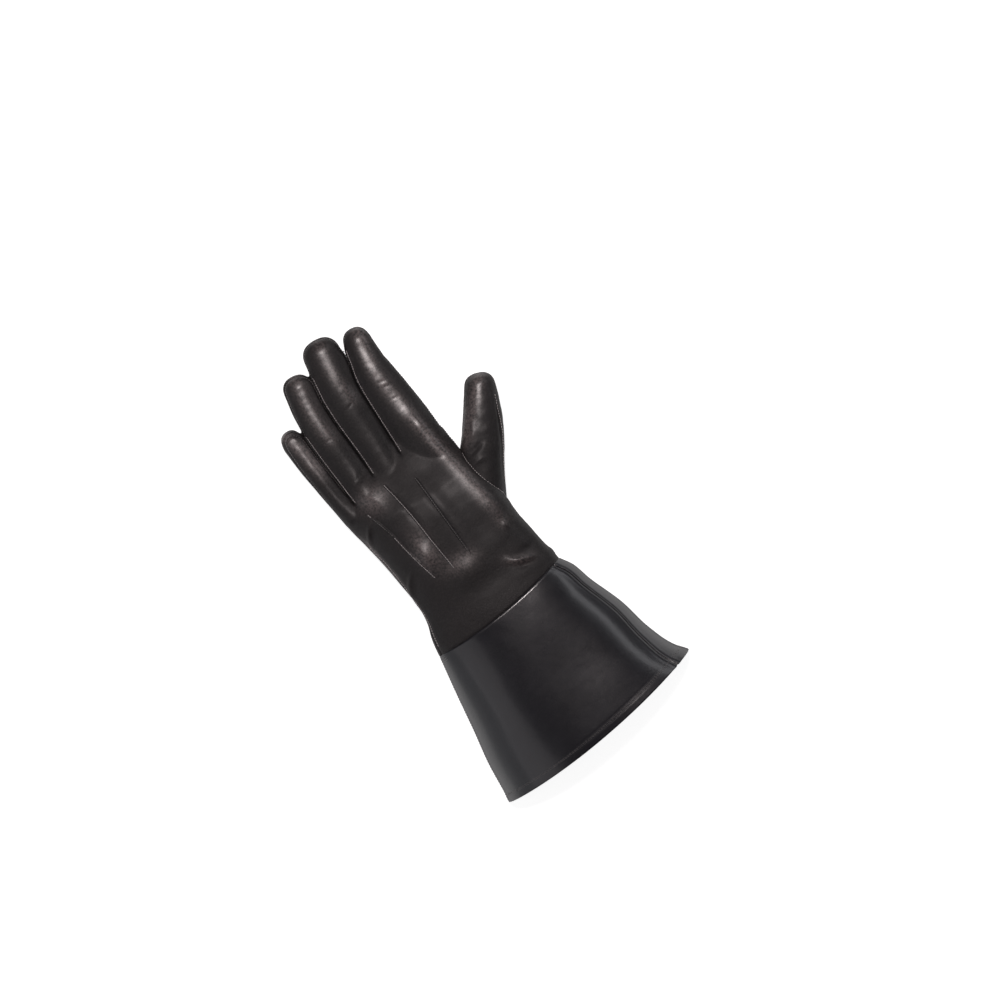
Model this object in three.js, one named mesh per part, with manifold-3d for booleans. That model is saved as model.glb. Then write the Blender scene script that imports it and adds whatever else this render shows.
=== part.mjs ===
// A left-hand gauntlet glove of black leather, lying palm down with its back up.
// Millimetres. +Z up, +Y towards the fingertips, +X towards the thumb.
import * as THREE from 'three';
import { mergeVertices } from 'three/addons/utils/BufferGeometryUtils.js';
import Module from 'manifold-3d';

const wasm = await Module();
wasm.setup();

// Leather and clearances
const HAND_WALL = 1.8;
const CUFF_WALL = 1.8;
const HEM_TURN = 0.8; // extra leather of the turned hem
const HEM_WIDTH = 7;
const GAP = 0.3; // between neighbouring pieces
const FINGER_GAP = 1; // between neighbouring fingers
const LAP = 6; // how far the cuff reaches inside the hand
const REST_FLAT = 0.6; // how much of the rounded underside is flattened on the ground

// Gauntlet cuff
const CUFF_LENGTH = 119; // along the little-finger side
const CUFF_SKEW = 11; // how much shorter the cuff is along the thumb side
const MOUTH_WIDTH = 172;
const MOUTH_LEFT = 86; // mouth width on the little-finger side of the middle line
const MOUTH_HEIGHT = 44;
const HEM_BOW = 6;
const SIDE_STRIP = 8; // palm panel that shows beside the thumb-side seam
const MOUTH_STRIP = 13;

// Wrist and hand
const SEAM_WIDTH = 113;
const SEAM_LEFT = 72;
const SEAM_HEIGHT = 36;
const SEAM_SKEW = 14; // how much higher the seam is on the thumb side
const SEAM_BOW = 4.5;
const SEAM_RAISE = 0.6; // underside of the seam as a share of the wrist's raise
const HAND_LENGTH = 136; // wrist seam to the roots of the fingers
const PALM_WIDTH = 104;
const HAND_HEIGHT = 34;
const WRIST_RAISE = 9; // underside of the wrist above the ground
const TUCK_WIDTH = 3;
const TUCK_RISE = 1.1;

// Digits: middle of the root, length to the tip, width and thickness
const LITTLE = { root: [-70.5, 118], length: 82, width: 18, thick: 16 };
const RING = { root: [-55.5, 118], length: 114, width: 25, thick: 17.5 };
const MIDDLE = { root: [-30.5, 118], length: 128, width: 29.5, thick: 18.5 };
const INDEX = { root: [1.5, 118], length: 121, width: 33, thick: 18.5 };
const THUMB = { root: [14, 70], length: 92, width: 33, thick: 22 };

// Strap, buckle and snaps on the palm side of the wrist
const STRAP_Y = 32.5; // middle line of the strap above the wrist seam
const STRAP_WIDTH = 18;
const STRAP_THICK = 1.2;
const STRAP_START = -63; // at the little-finger-side seam
const TAB_X = -40;
const TAB_RADIUS = 13.75;
const TAB_SHOULDER = 18; // from the middle of the tab to the plain strap
const CHAPE_THICK = 1;
const CHAPE_END = 21;
const BUCKLE_LEFT = 1;
const BUCKLE_WIDTH = 13;
const BUCKLE_LENGTH = 25.5;
const BUCKLE_CORNER = 3;
const MIDDLE_BAR = 0.6; // place of the middle bar between the outer two
const WIRE = 1.8;
const CAP_RADIUS = 7;
const CAP_RISE = 2.2;
const CAP_POST = 1.8;
const STUD_FLANGE = 4.5;
const STUD_BALL = 2;
const SPARE_X = -57.5;
const SPARE_FLANGE = 3;
const PLATE = 0.6; // sheet metal of the studs' flanges

const RING_SIDES = 28;
const FINGER_SIDES = 16;

// Cuff from its hem (0) to the wrist seam (1). left and right: share of the flare that is left,
// raise: underside as a share of its height at the seam, belly: height of the widest level as a
// share of the height
const CUFF_ROWS = [
  { along: 0.00, left: 1.00, right: 1.00, raise: 0.0, belly: 0.12 },
  { along: 0.10, left: 0.94, right: 0.82, raise: 0.0, belly: 0.12 },
  { along: 0.27, left: 0.86, right: 0.64, raise: 0.0, belly: 0.13 },
  { along: 0.52, left: 0.57, right: 0.48, raise: 0.0, belly: 0.16 },
  { along: 0.77, left: 0.29, right: 0.24, raise: 0.15, belly: 0.24 },
  { along: 0.92, left: 0.10, right: 0.12, raise: 0.6, belly: 0.34 },
];

// Hand from the wrist seam (0) to the finger roots (1). skew and bow: share of the seam's,
// left and right: shares of the palm width, raise: share of the wrist's, top: share of the
// hand's height, belly: height of the widest level as a share of that top
const HAND_ROWS = [
  { along: 0.096, skew: 0.64, bow: 0.45, left: -0.673, right: 0.385, raise: 0.80, top: 1.03, belly: 0.48 },
  { along: 0.180, skew: 0.15, bow: 0.00, left: -0.640, right: 0.365, raise: 1.00, top: 1.00, belly: 0.52 },
  { along: 0.320, skew: 0.00, bow: 0.00, left: -0.635, right: 0.337, raise: 1.00, top: 1.00, belly: 0.52 },
  { along: 0.430, skew: 0.00, bow: 0.00, left: -0.654, right: 0.312, raise: 0.45, top: 1.01, belly: 0.42 },
  { along: 0.570, skew: 0.00, bow: 0.00, left: -0.683, right: 0.298, raise: 0.00, top: 1.00, belly: 0.36 },
  { along: 0.720, skew: 0.00, bow: 0.00, left: -0.721, right: 0.250, raise: 0.00, top: 0.94, belly: 0.36 },
  { along: 0.870, skew: 0.20, bow: 0.00, left: -0.760, right: 0.207, raise: 0.00, top: 0.77, belly: 0.38 },
  { along: 0.925, skew: 1.14, bow: -3.20, left: -0.765, right: 0.188, raise: 0.00, top: 0.50, belly: 0.45 },
];

// Digits from root (0) to tip (1). across: sideways shift, wide: width, thick: thickness, as
// shares of the digit's width and thickness
const LITTLE_ROWS = [
  { along: 0.00, across: 0.00, wide: 1.00, thick: 1.30 },
  { along: 0.21, across: -0.21, wide: 0.87, thick: 1.15 },
  { along: 0.43, across: -0.34, wide: 0.93, thick: 1.05 },
  { along: 0.65, across: -0.46, wide: 0.97, thick: 1.00 },
  { along: 0.85, across: -0.51, wide: 1.00, thick: 0.95 },
];
const RING_ROWS = [
  { along: 0.00, across: 0.02, wide: 0.96, thick: 1.30 },
  { along: 0.15, across: 0.04, wide: 0.96, thick: 1.18 },
  { along: 0.35, across: -0.02, wide: 1.00, thick: 1.05 },
  { along: 0.61, across: -0.11, wide: 0.99, thick: 1.00 },
  { along: 0.76, across: -0.09, wide: 0.98, thick: 0.97 },
  { along: 0.90, across: 0.00, wide: 0.94, thick: 0.93 },
];
const MIDDLE_ROWS = [
  { along: 0.00, across: 0.00, wide: 0.85, thick: 1.25 },
  { along: 0.26, across: 0.00, wide: 0.87, thick: 1.12 },
  { along: 0.47, across: -0.03, wide: 0.94, thick: 1.02 },
  { along: 0.66, across: -0.03, wide: 0.98, thick: 1.00 },
  { along: 0.76, across: 0.04, wide: 1.02, thick: 0.98 },
  { along: 0.90, across: 0.11, wide: 1.00, thick: 0.93 },
];
const INDEX_ROWS = [
  { along: 0.00, across: 0.00, wide: 1.09, thick: 1.25 },
  { along: 0.27, across: -0.03, wide: 1.06, thick: 1.12 },
  { along: 0.50, across: -0.07, wide: 1.00, thick: 1.02 },
  { along: 0.62, across: -0.10, wide: 0.96, thick: 1.00 },
  { along: 0.74, across: -0.11, wide: 0.85, thick: 0.97 },
  { along: 0.89, across: -0.05, wide: 0.67, thick: 0.90 },
];
const THUMB_ROWS = [
  { along: 0.00, across: 0.00, wide: 0.94, thick: 1.10 },
  { along: 0.22, across: 0.29, wide: 0.98, thick: 1.10 },
  { along: 0.40, across: 0.56, wide: 1.02, thick: 1.08 },
  { along: 0.60, across: 0.93, wide: 0.95, thick: 1.00 },
  { along: 0.78, across: 1.21, wide: 0.83, thick: 0.90 },
  { along: 0.90, across: 1.37, wide: 0.72, thick: 0.82 },
];

// Raised pintucks on the back, from the wrist end. across: share of the palm width,
// along: share of the hand's length
const TUCKS = [
  [{ across: -0.413, along: 0.37 }, { across: -0.452, along: 0.48 }, { across: -0.481, along: 0.57 },
    { across: -0.510, along: 0.68 }, { across: -0.587, along: 0.86 }],
  [{ across: -0.284, along: 0.39 }, { across: -0.298, along: 0.56 }, { across: -0.317, along: 0.70 },
    { across: -0.346, along: 0.83 }, { across: -0.365, along: 0.91 }],
  [{ across: -0.115, along: 0.38 }, { across: -0.130, along: 0.54 }, { across: -0.144, along: 0.70 },
    { across: -0.155, along: 0.80 }, { across: -0.163, along: 0.89 }],
];

const lerp = (a, b, t) => a + (b - a) * t;

// A closed solid from a list of triangles or a three.js geometry
function toSolid(geometry) {
  geometry.deleteAttribute('normal');
  geometry.deleteAttribute('uv');
  const merged = mergeVertices(geometry, 1e-5);
  return new wasm.Manifold(new wasm.Mesh({
    numProp: 3,
    vertProperties: new Float32Array(merged.attributes.position.array),
    triVerts: new Uint32Array(merged.index.array),
  }));
}

function toGeometry(solid) {
  const { vertProperties, triVerts } = solid.getMesh();
  const geometry = new THREE.BufferGeometry();
  geometry.setAttribute('position', new THREE.BufferAttribute(vertProperties, 3));
  geometry.setIndex(new THREE.BufferAttribute(triVerts, 1));
  return geometry;
}

function signedVolume(points, faces) {
  const cross = new THREE.Vector3();
  let sum = 0;
  for (const [a, b, c] of faces) {
    sum += points[a].dot(cross.crossVectors(points[b], points[c]));
  }
  return sum / 6;
}

// A solid from points and triangles, turned to face outwards
function facedSolid(points, faces) {
  if (signedVolume(points, faces) < 0) faces.forEach((face) => face.reverse());
  const positions = points.flatMap((point) => point.toArray());
  const geometry = new THREE.BufferGeometry();
  geometry.setAttribute('position', new THREE.Float32BufferAttribute(positions, 3));
  geometry.setIndex(faces.flat());
  return toSolid(geometry);
}

// Rings of equal length joined into one closed solid, each end closed by a fan
function loft(rings) {
  const sides = rings[0].length;
  const points = rings.flat();
  const faces = [];
  for (let r = 0; r + 1 < rings.length; r += 1) {
    for (let s = 0; s < sides; s += 1) {
      const a = r * sides + s;
      const b = r * sides + (s + 1) % sides;
      faces.push([a, b, b + sides], [a, b + sides, a + sides]);
    }
  }
  for (const [start, turn] of [[0, 1], [(rings.length - 1) * sides, 0]]) {
    const middle = new THREE.Vector3();
    for (let s = 0; s < sides; s += 1) middle.addScaledVector(points[start + s], 1 / sides);
    points.push(middle);
    for (let s = 0; s < sides; s += 1) {
      const edge = [start + s, start + (s + 1) % sides];
      faces.push(turn ? [edge[1], edge[0], points.length - 1] : [...edge, points.length - 1]);
    }
  }
  return facedSolid(points, faces);
}

// A flat outline of [a, b] pairs, thickened from low to high along Z
function plate(outline, low, high) {
  const shape = new THREE.Shape(outline.map(([x, y]) => new THREE.Vector2(x, y)));
  const geometry = new THREE.ExtrudeGeometry(shape, { depth: high - low, bevelEnabled: false });
  geometry.translate(0, 0, low);
  return toSolid(geometry);
}

// A side-on outline of [x, z] pairs, thickened along Y
function slab(outline, low, high) {
  const shape = new THREE.Shape(outline.map(([x, z]) => new THREE.Vector2(x, z)));
  const geometry = new THREE.ExtrudeGeometry(shape, { depth: high - low, bevelEnabled: false });
  geometry.rotateX(Math.PI / 2);
  geometry.translate(0, high, 0);
  return toSolid(geometry);
}

// A turned solid from [radius, z] pairs that start and end on its axis
function turned(profile, x, y) {
  const geometry = new THREE.LatheGeometry(profile.map(([r, z]) => new THREE.Vector2(r, z)), 16);
  geometry.rotateX(Math.PI / 2);
  geometry.translate(x, y, 0);
  return toSolid(geometry);
}

// Sleeve: the cuff and the hand as one run of sections
const BLUNT = { topLeft: 2.1, topRight: 2.5, bottom: 3.4 };

// Height of an underside raised by a share of a height; unraised, it sinks to be flattened
const sole = (height, share) => lerp(-REST_FLAT, height, share);

const SEAM_BELLY = 0.44; // widest level of the wrist seam, of its height
function seamRow() {
  return {
    yl: 0, yr: SEAM_SKEW, bow: SEAM_BOW, xl: -SEAM_LEFT, xr: SEAM_WIDTH - SEAM_LEFT,
    zb: sole(WRIST_RAISE, SEAM_RAISE), zt: SEAM_HEIGHT, zm: SEAM_HEIGHT * SEAM_BELLY,
  };
}

function cuffRow(row) {
  const seam = seamRow();
  const zt = lerp(MOUTH_HEIGHT, SEAM_HEIGHT, row.along);
  return {
    yl: -CUFF_LENGTH * (1 - row.along),
    yr: lerp(SEAM_SKEW - CUFF_LENGTH + CUFF_SKEW, SEAM_SKEW, row.along),
    bow: lerp(HEM_BOW, SEAM_BOW, row.along),
    xl: lerp(seam.xl, -MOUTH_LEFT, row.left),
    xr: lerp(seam.xr, MOUTH_WIDTH - MOUTH_LEFT, row.right),
    zb: sole(WRIST_RAISE * SEAM_RAISE, row.raise), zt, zm: zt * row.belly,
  };
}

function handRow(row) {
  const zt = HAND_HEIGHT * row.top;
  return {
    yl: HAND_LENGTH * row.along, yr: HAND_LENGTH * row.along + SEAM_SKEW * row.skew,
    bow: SEAM_BOW * row.bow, xl: PALM_WIDTH * row.left, xr: PALM_WIDTH * row.right,
    zb: sole(WRIST_RAISE, row.raise), zt, zm: zt * row.belly,
  };
}

const power = (value, exponent) => Math.sign(value) * Math.abs(value) ** exponent;

// One closed section of the sleeve, drawn in by inset and moved along by shift
function sleeveRing(row, inset = 0, shift = 0) {
  const middle = (row.xl + row.xr) / 2;
  const half = (row.xr - row.xl) / 2;
  const ring = [];
  for (let s = 0; s < RING_SIDES; s += 1) {
    const angle = (2 * Math.PI * s) / RING_SIDES;
    const up = Math.sin(angle) >= 0;
    const side = Math.cos(angle) < 0 ? BLUNT.topLeft : BLUNT.topRight;
    const blunt = up ? side : BLUNT.bottom;
    const x = middle + (half - inset) * power(Math.cos(angle), 2 / blunt);
    const reach = (up ? row.zt - row.zm : row.zm - row.zb) - inset;
    const z = row.zm + reach * power(Math.sin(angle), 2 / blunt);
    const u = (x - middle) / half;
    ring.push(new THREE.Vector3(x, lerp(row.yl, row.yr, (u + 1) / 2) - row.bow * (1 - u * u) + shift, z));
  }
  return ring;
}

// Height of the sleeve's upper side at x on one section
function topAt(row, x) {
  const middle = (row.xl + row.xr) / 2;
  const u = Math.min(0.999, Math.abs(x - middle) / ((row.xr - row.xl) / 2));
  const blunt = x < middle ? BLUNT.topLeft : BLUNT.topRight;
  return row.zm + (row.zt - row.zm) * (1 - u ** blunt) ** (1 / blunt);
}

// A section between two others
function mixRows(a, b, t) {
  return Object.fromEntries(Object.keys(a).map((key) => [key, lerp(a[key], b[key], t)]));
}

const seam = seamRow();
const cuffRows = CUFF_ROWS.map(cuffRow);
const handRows = [seam, ...HAND_ROWS.map(handRow)];
const handEnd = handRows[handRows.length - 1];

// Section of the hand at a distance above the wrist seam
function handAt(y) {
  const next = Math.max(1, handRows.findIndex((row) => row.yl >= y));
  const [a, b] = [handRows[next - 1], handRows[next]];
  return mixRows(a, b, (y - a.yl) / (b.yl - a.yl));
}

// A digit: sections along a gently bent middle line, closed by a round tip
const DIGIT_BLUNT = { top: 2.3, bottom: 3 };
const DIGIT_BELLY = 0.44; // widest level, of the height
const THINNEST = 0.4; // least half size of a hollow
const TIP_STEPS = 3;
const TIP_SHORT = 0.35; // of a step, by which the last section stops short of the very end
const TIP_BLUNT = 0.75;
const TIP_LEAN = 0.6; // share of the digit's slant that its tip follows
const TIP_LOW = 0.25; // lowest height of the tip, of the digit's
function digitRings(digit, rows, inset) {
  const width = digit.width - FINGER_GAP;
  const spine = rows.map((row) => ({
    x: digit.root[0] + row.across * digit.width,
    y: digit.root[1] + row.along * digit.length,
    half: (width * row.wide) / 2, zt: digit.thick * row.thick,
  }));
  const last = spine[spine.length - 1];
  const before = spine[spine.length - 2];
  const tipLength = digit.length * (1 - rows[rows.length - 1].along);
  const lean = (last.x - before.x) / (last.y - before.y);
  for (let step = 1; step <= TIP_STEPS; step += 1) {
    const angle = (Math.PI / 2) * (step / (TIP_STEPS + TIP_SHORT));
    const shrink = Math.cos(angle) ** TIP_BLUNT;
    const reach = tipLength * Math.sin(angle);
    spine.push({
      x: last.x + lean * reach * TIP_LEAN, y: last.y + reach,
      half: last.half * shrink, zt: last.zt * lerp(TIP_LOW, 1, shrink),
    });
  }
  return spine.map((at, index) => {
    const ahead = spine[Math.min(index + 1, spine.length - 1)];
    const behind = spine[Math.max(index - 1, 0)];
    const turn = Math.atan2(ahead.x - behind.x, ahead.y - behind.y);
    const end = index === spine.length - 1 ? inset * TIP_LEAN : 0;
    const belly = at.zt * DIGIT_BELLY;
    const ring = [];
    for (let s = 0; s < FINGER_SIDES; s += 1) {
      const angle = (2 * Math.PI * (s + 0.5)) / FINGER_SIDES;
      const blunt = Math.sin(angle) > 0 ? DIGIT_BLUNT.top : DIGIT_BLUNT.bottom;
      const across = Math.max(THINNEST, at.half - inset) * power(Math.cos(angle), 2 / blunt);
      const high = Math.sin(angle) > 0 ? at.zt - belly : belly + REST_FLAT;
      const reach = Math.max(THINNEST, high - inset);
      ring.push(new THREE.Vector3(
        at.x + across * Math.cos(turn) - end * Math.sin(turn),
        at.y - across * Math.sin(turn) - end * Math.cos(turn),
        belly + reach * power(Math.sin(angle), 2 / blunt),
      ));
    }
    return ring;
  });
}

const FINGERS = [[LITTLE, LITTLE_ROWS], [RING, RING_ROWS], [MIDDLE, MIDDLE_ROWS], [INDEX, INDEX_ROWS]];

// The hand with its fingers, drawn in by inset; start is moved along the sleeve by shift
function handForm(inset, shift = 0) {
  const rings = handRows.map((row) => sleeveRing(row, inset, row === handEnd ? -inset : 0));
  if (shift) rings.unshift(sleeveRing(seam, inset, shift));
  const fingers = FINGERS.map(([digit, rows]) => loft(digitRings(digit, rows, inset)));
  return fingers.reduce((form, finger) => form.add(finger), loft(rings));
}

// A form cut flat where it lies on the ground
function rested(form) {
  const ground = new THREE.BoxGeometry(4 * MOUTH_WIDTH, 8 * CUFF_LENGTH, MOUTH_HEIGHT);
  ground.translate(0, 0, -MOUTH_HEIGHT / 2);
  return form.subtract(toSolid(ground));
}

const thumbForm = (inset) => loft(digitRings(THUMB, THUMB_ROWS, inset));

const FAR = 2 * PALM_WIDTH; // reach of cutting forms past the leather
const OPEN_RUN = 0.15 * HAND_LENGTH; // reach of a hollow past its open end

// The side of a tilted parting surface that faces up (or down): rows of left and right heights
function partingSide(rows, up, clear) {
  return loft(rows.map(({ y, left, right, zl, zr }) => {
    const slope = (zr - zl) / (right - left);
    const lift = up ? clear : -clear;
    const z = (x) => zl + slope * (x - left) + lift;
    const edge = up ? FAR : -FAR;
    const [from, to] = [left - FAR, right + FAR];
    return [[from, z(from)], [to, z(to)], [to, edge], [from, edge]]
      .map(([x, height]) => new THREE.Vector3(x, y, height));
  }));
}

// Hand panels part above the middle of the little-finger side and lower on the thumb side
const LITTLE_SIDE_PART = 0.66;
const LITTLE_ROOT_PART = 0.46;
const THUMB_SIDE_PART = 0.42;
const TIP_PART = 13;
const TIP_TILT = 0.75; // thumb-side height of the parting at the fingers, of TIP_PART
const WRIST_PART = 0.62;
const tipParting = { left: handEnd.xl, right: handEnd.xr, zr: TIP_PART * TIP_TILT };
const handParting = [
  {
    y: -0.22 * HAND_LENGTH, left: seam.xl, right: seam.xr,
    zl: seam.zt * WRIST_PART, zr: seam.zt * THUMB_SIDE_PART,
  },
  ...handRows.slice(1, -1).map((row) => ({
    y: row.yl, left: row.xl, right: row.xr,
    zl: row.zt * lerp(LITTLE_SIDE_PART, LITTLE_ROOT_PART, row.yl / HAND_LENGTH),
    zr: row.zt * THUMB_SIDE_PART,
  })),
  { ...tipParting, y: handEnd.yl + OPEN_RUN, zl: TIP_PART },
  { ...tipParting, y: 2.2 * HAND_LENGTH, zl: TIP_PART * 0.92 },
];

function spineAt([digit, rows], y) {
  const share = (y - digit.root[1]) / digit.length;
  const next = Math.max(1, rows.findIndex((row) => row.along >= share));
  const [a, b] = [rows[next - 1], rows[next]];
  return digit.root[0] + digit.width * lerp(a.across, b.across, (share - a.along) / (b.along - a.along));
}

// Side strips: place along the strip as a share of the hand past the crotch and as a share of the way to
// its end; its bottom and its top at the first and second finger as shares of the finger's thickness
const STRIP_ROWS = [
  { hand: -0.096, way: 0, low: 0.28, first: 0.82, second: 0.88 },
  { hand: 0.059, way: 0, low: 0.30, first: 0.74, second: 0.84 },
  { hand: 0, way: 0.6, low: 0.34, first: 0.66, second: 0.78 },
  { hand: 0, way: 1, low: 0.50, first: 0.56, second: 0.62 },
];

// The wedge between two neighbouring fingers that their side strip fills, tapered to the tips
function sideWedge(first, second, crotch, grow) {
  const ends = [first, second].map(([digit, rows]) => (
    digit.root[1] + digit.length * rows[rows.length - 1].along));
  const reach = Math.min(...ends) - FINGER_GAP;
  const thick = Math.min(first[0].thick, second[0].thick);
  return loft(STRIP_ROWS.map((row, index) => {
    const y = crotch + HAND_LENGTH * row.hand + (reach - crotch) * row.way;
    const end = (index === 0 ? -grow : 0) + (index === STRIP_ROWS.length - 1 ? grow : 0);
    const [a, b] = [spineAt(first, y), spineAt(second, y)];
    const [bottom, topFirst, topSecond] = [row.low, row.first, row.second].map((share) => share * thick);
    return [[a, bottom - grow], [b, bottom - grow], [b, topSecond + grow], [a, topFirst + grow]]
      .map(([x, z]) => new THREE.Vector3(x, y + end, z));
  }));
}

// Crotches above the wrist seam, as shares of the hand: ring to little, middle to ring, index to middle
const CROTCHES = [0.993, 1.0735, 1.0955].map((share) => share * HAND_LENGTH);

// Section of a pintuck: place across as a share of its width, rise as a share of its height
const TUCK_SECTION = [[-0.5, -1], [0.5, -1], [0.5, 0.18], [0.17, 1], [-0.17, 1], [-0.5, 0.18]];
const TUCK_FADE = 0.3; // height of a pintuck's ends, of its full height

function tuckRidge(points) {
  return loft(points.map(({ across, along }, index) => {
    const x = PALM_WIDTH * across;
    const y = HAND_LENGTH * along;
    const z = topAt(handAt(y), x);
    const height = TUCK_RISE * (index === 0 || index === points.length - 1 ? TUCK_FADE : 1);
    return TUCK_SECTION.map(([wide, rise]) => (
      new THREE.Vector3(x + wide * TUCK_WIDTH, y, z + (rise < 1 ? rise : height))));
  }));
}

// Hand: an even leather wall, opened at the wrist and at the thumb
const handOuter = rested(handForm(0));
const thumbHollow = thumbForm(HAND_WALL);
const handShell = handOuter.subtract(handForm(HAND_WALL, -OPEN_RUN)).subtract(thumbHollow);
const wedges = [0, 1, 2].map((n) => [FINGERS[n], FINGERS[n + 1], CROTCHES[n]]);
const openShell = wedges.reduce((shell, wedge) => shell.subtract(sideWedge(...wedge, GAP / 2)), handShell);
const ridges = TUCKS.map(tuckRidge).reduce((all, ridge) => all.add(ridge));
const backPanel = openShell.intersect(partingSide(handParting, true, GAP / 2)).add(ridges);
const palmPanel = openShell.intersect(partingSide(handParting, false, GAP / 2));
const fourchettes = wedges.map((wedge) => handShell.intersect(sideWedge(...wedge, -GAP / 2)));
const thumb = rested(thumbForm(0)).subtract(thumbHollow).subtract(handForm(-GAP, -OPEN_RUN));

// Cuff: flared wall with a turned hem, stepped in where the hand laps over it
const lapInset = HAND_WALL + GAP;
const lapRow = handAt(LAP);
const hemShare = HEM_WIDTH / CUFF_LENGTH;
const hemRow = mixRows(cuffRows[0], cuffRows[1], hemShare / CUFF_ROWS[1].along);
const cuffOuter = loft([
  ...cuffRows.map((row) => sleeveRing(row)), sleeveRing(seam, 0, -GAP), sleeveRing(seam, lapInset, -GAP),
  sleeveRing(lapRow, lapInset),
]);
const hemInset = CUFF_WALL + HEM_TURN;
const cuffHollow = loft([
  sleeveRing(cuffRows[0], hemInset, -OPEN_RUN), sleeveRing(cuffRows[0], hemInset),
  sleeveRing(hemRow, hemInset),
  sleeveRing(hemRow, CUFF_WALL, HEM_TURN), ...cuffRows.slice(1).map((row) => sleeveRing(row, CUFF_WALL)),
  sleeveRing(seam, lapInset + CUFF_WALL, -GAP - CUFF_WALL), sleeveRing(lapRow, lapInset + CUFF_WALL),
  sleeveRing(lapRow, lapInset + CUFF_WALL, OPEN_RUN),
]);
const cuffShell = rested(cuffOuter).subtract(cuffHollow);
const cuffParting = [...cuffRows, seam].map((row, index) => {
  const strip = index === 0 ? MOUTH_STRIP : SIDE_STRIP;
  const right = row.xr - strip;
  return { y: (row.yl + row.yr) / 2, left: row.xl, right, zl: row.zm, zr: topAt(row, right) };
});
cuffParting.unshift({ ...cuffParting[0], y: -1.35 * CUFF_LENGTH });
cuffParting.push({ ...cuffParting[cuffParting.length - 1], y: 0.5 * CUFF_LENGTH });
const cuffBack = cuffShell.intersect(partingSide(cuffParting, true, GAP / 2));
const cuffPalm = cuffShell.intersect(partingSide(cuffParting, false, GAP / 2));

// Stack under the wrist, downwards: palm leather, lower strap, stud, tab, cap
const lowerTop = WRIST_RAISE - GAP;
const lowerBottom = lowerTop - STRAP_THICK;
const chapeBottom = lowerTop - 2 * CHAPE_THICK - GAP;
const barZ = chapeBottom - GAP - WIRE / 2;
const upperTop = barZ - WIRE / 2 - GAP;
const upperBottom = upperTop - STRAP_THICK;
const strapLow = STRAP_Y - STRAP_WIDTH / 2;
const strapHigh = STRAP_Y + STRAP_WIDTH / 2;
const barLeft = BUCKLE_LEFT + WIRE / 2;
const barRight = BUCKLE_LEFT + BUCKLE_WIDTH - WIRE / 2;
const barMiddle = lerp(barLeft, barRight, MIDDLE_BAR);

// Half turn of a fold in the XZ plane from its upper to its lower layer, side -1 left or 1 right
function fold(x, topZ, bottomZ, side, steps = 8) {
  const radius = (topZ - bottomZ) / 2;
  return Array.from({ length: steps + 1 }, (_, step) => {
    const angle = Math.PI * (step / steps);
    return [x + side * radius * Math.sin(angle), (topZ + bottomZ) / 2 + radius * Math.cos(angle)];
  });
}

const undersideRow = handAt(STRAP_Y);
function undersideAt(x) {
  const middle = (undersideRow.xl + undersideRow.xr) / 2;
  const u = Math.min(0.995, Math.abs(x - middle) / ((undersideRow.xr - undersideRow.xl) / 2));
  const depth = (1 - u ** BLUNT.bottom) ** (1 / BLUNT.bottom);
  return lerp(undersideRow.zm, undersideRow.zb, depth);
}
const CURL_STEPS = 5;
const CURL_LENGTH = 14; // how far the strap's end follows the palm upwards
const FOLD_RUN = 4; // how far the folded end runs on below the bar
const TAB_LAP = 3;
const curl = Array.from({ length: CURL_STEPS + 1 }, (_, n) => {
  const x = STRAP_START + CURL_LENGTH * (n / CURL_STEPS);
  return [x, undersideAt(x) - GAP];
});
const lowerLayer = slab([
  ...curl, ...fold(barLeft, lowerTop, upperBottom, 1),
  [barLeft - FOLD_RUN, upperBottom], [barLeft - FOLD_RUN, upperTop],
  ...fold(barLeft, lowerBottom, upperTop, 1).reverse(),
  ...curl.map(([x, z]) => [x, z - STRAP_THICK]).reverse(),
], strapLow, strapHigh);
const TAB_TURNS = 14;
const TAB_OPEN = 0.28; // where the tab's round end starts and stops, in half turns from its neck
const tabOutline = Array.from({ length: TAB_TURNS + 1 }, (_, n) => {
  const angle = lerp(TAB_OPEN, 2 - TAB_OPEN, n / TAB_TURNS) * Math.PI;
  return [TAB_X + TAB_RADIUS * Math.cos(angle), STRAP_Y + TAB_RADIUS * Math.sin(angle)];
});
tabOutline.push(
  [TAB_X + TAB_SHOULDER, strapLow], [barLeft - TAB_LAP, strapLow],
  [barLeft - TAB_LAP, strapHigh], [TAB_X + TAB_SHOULDER, strapHigh],
);
const handClear = handForm(-GAP, -OPEN_RUN);
function holeFor(radius, x) {
  const wide = radius + GAP;
  const [low, high] = [-HAND_HEIGHT, HAND_HEIGHT];
  return turned([[0, low], [wide, low], [wide, high], [0, high]], x, STRAP_Y);
}
const strap = lowerLayer
  .add(plate(tabOutline, upperBottom, upperTop))
  .subtract(handClear)
  .subtract(holeFor(CAP_POST, TAB_X))
  .subtract(holeFor(CAP_POST, SPARE_X));

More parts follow.
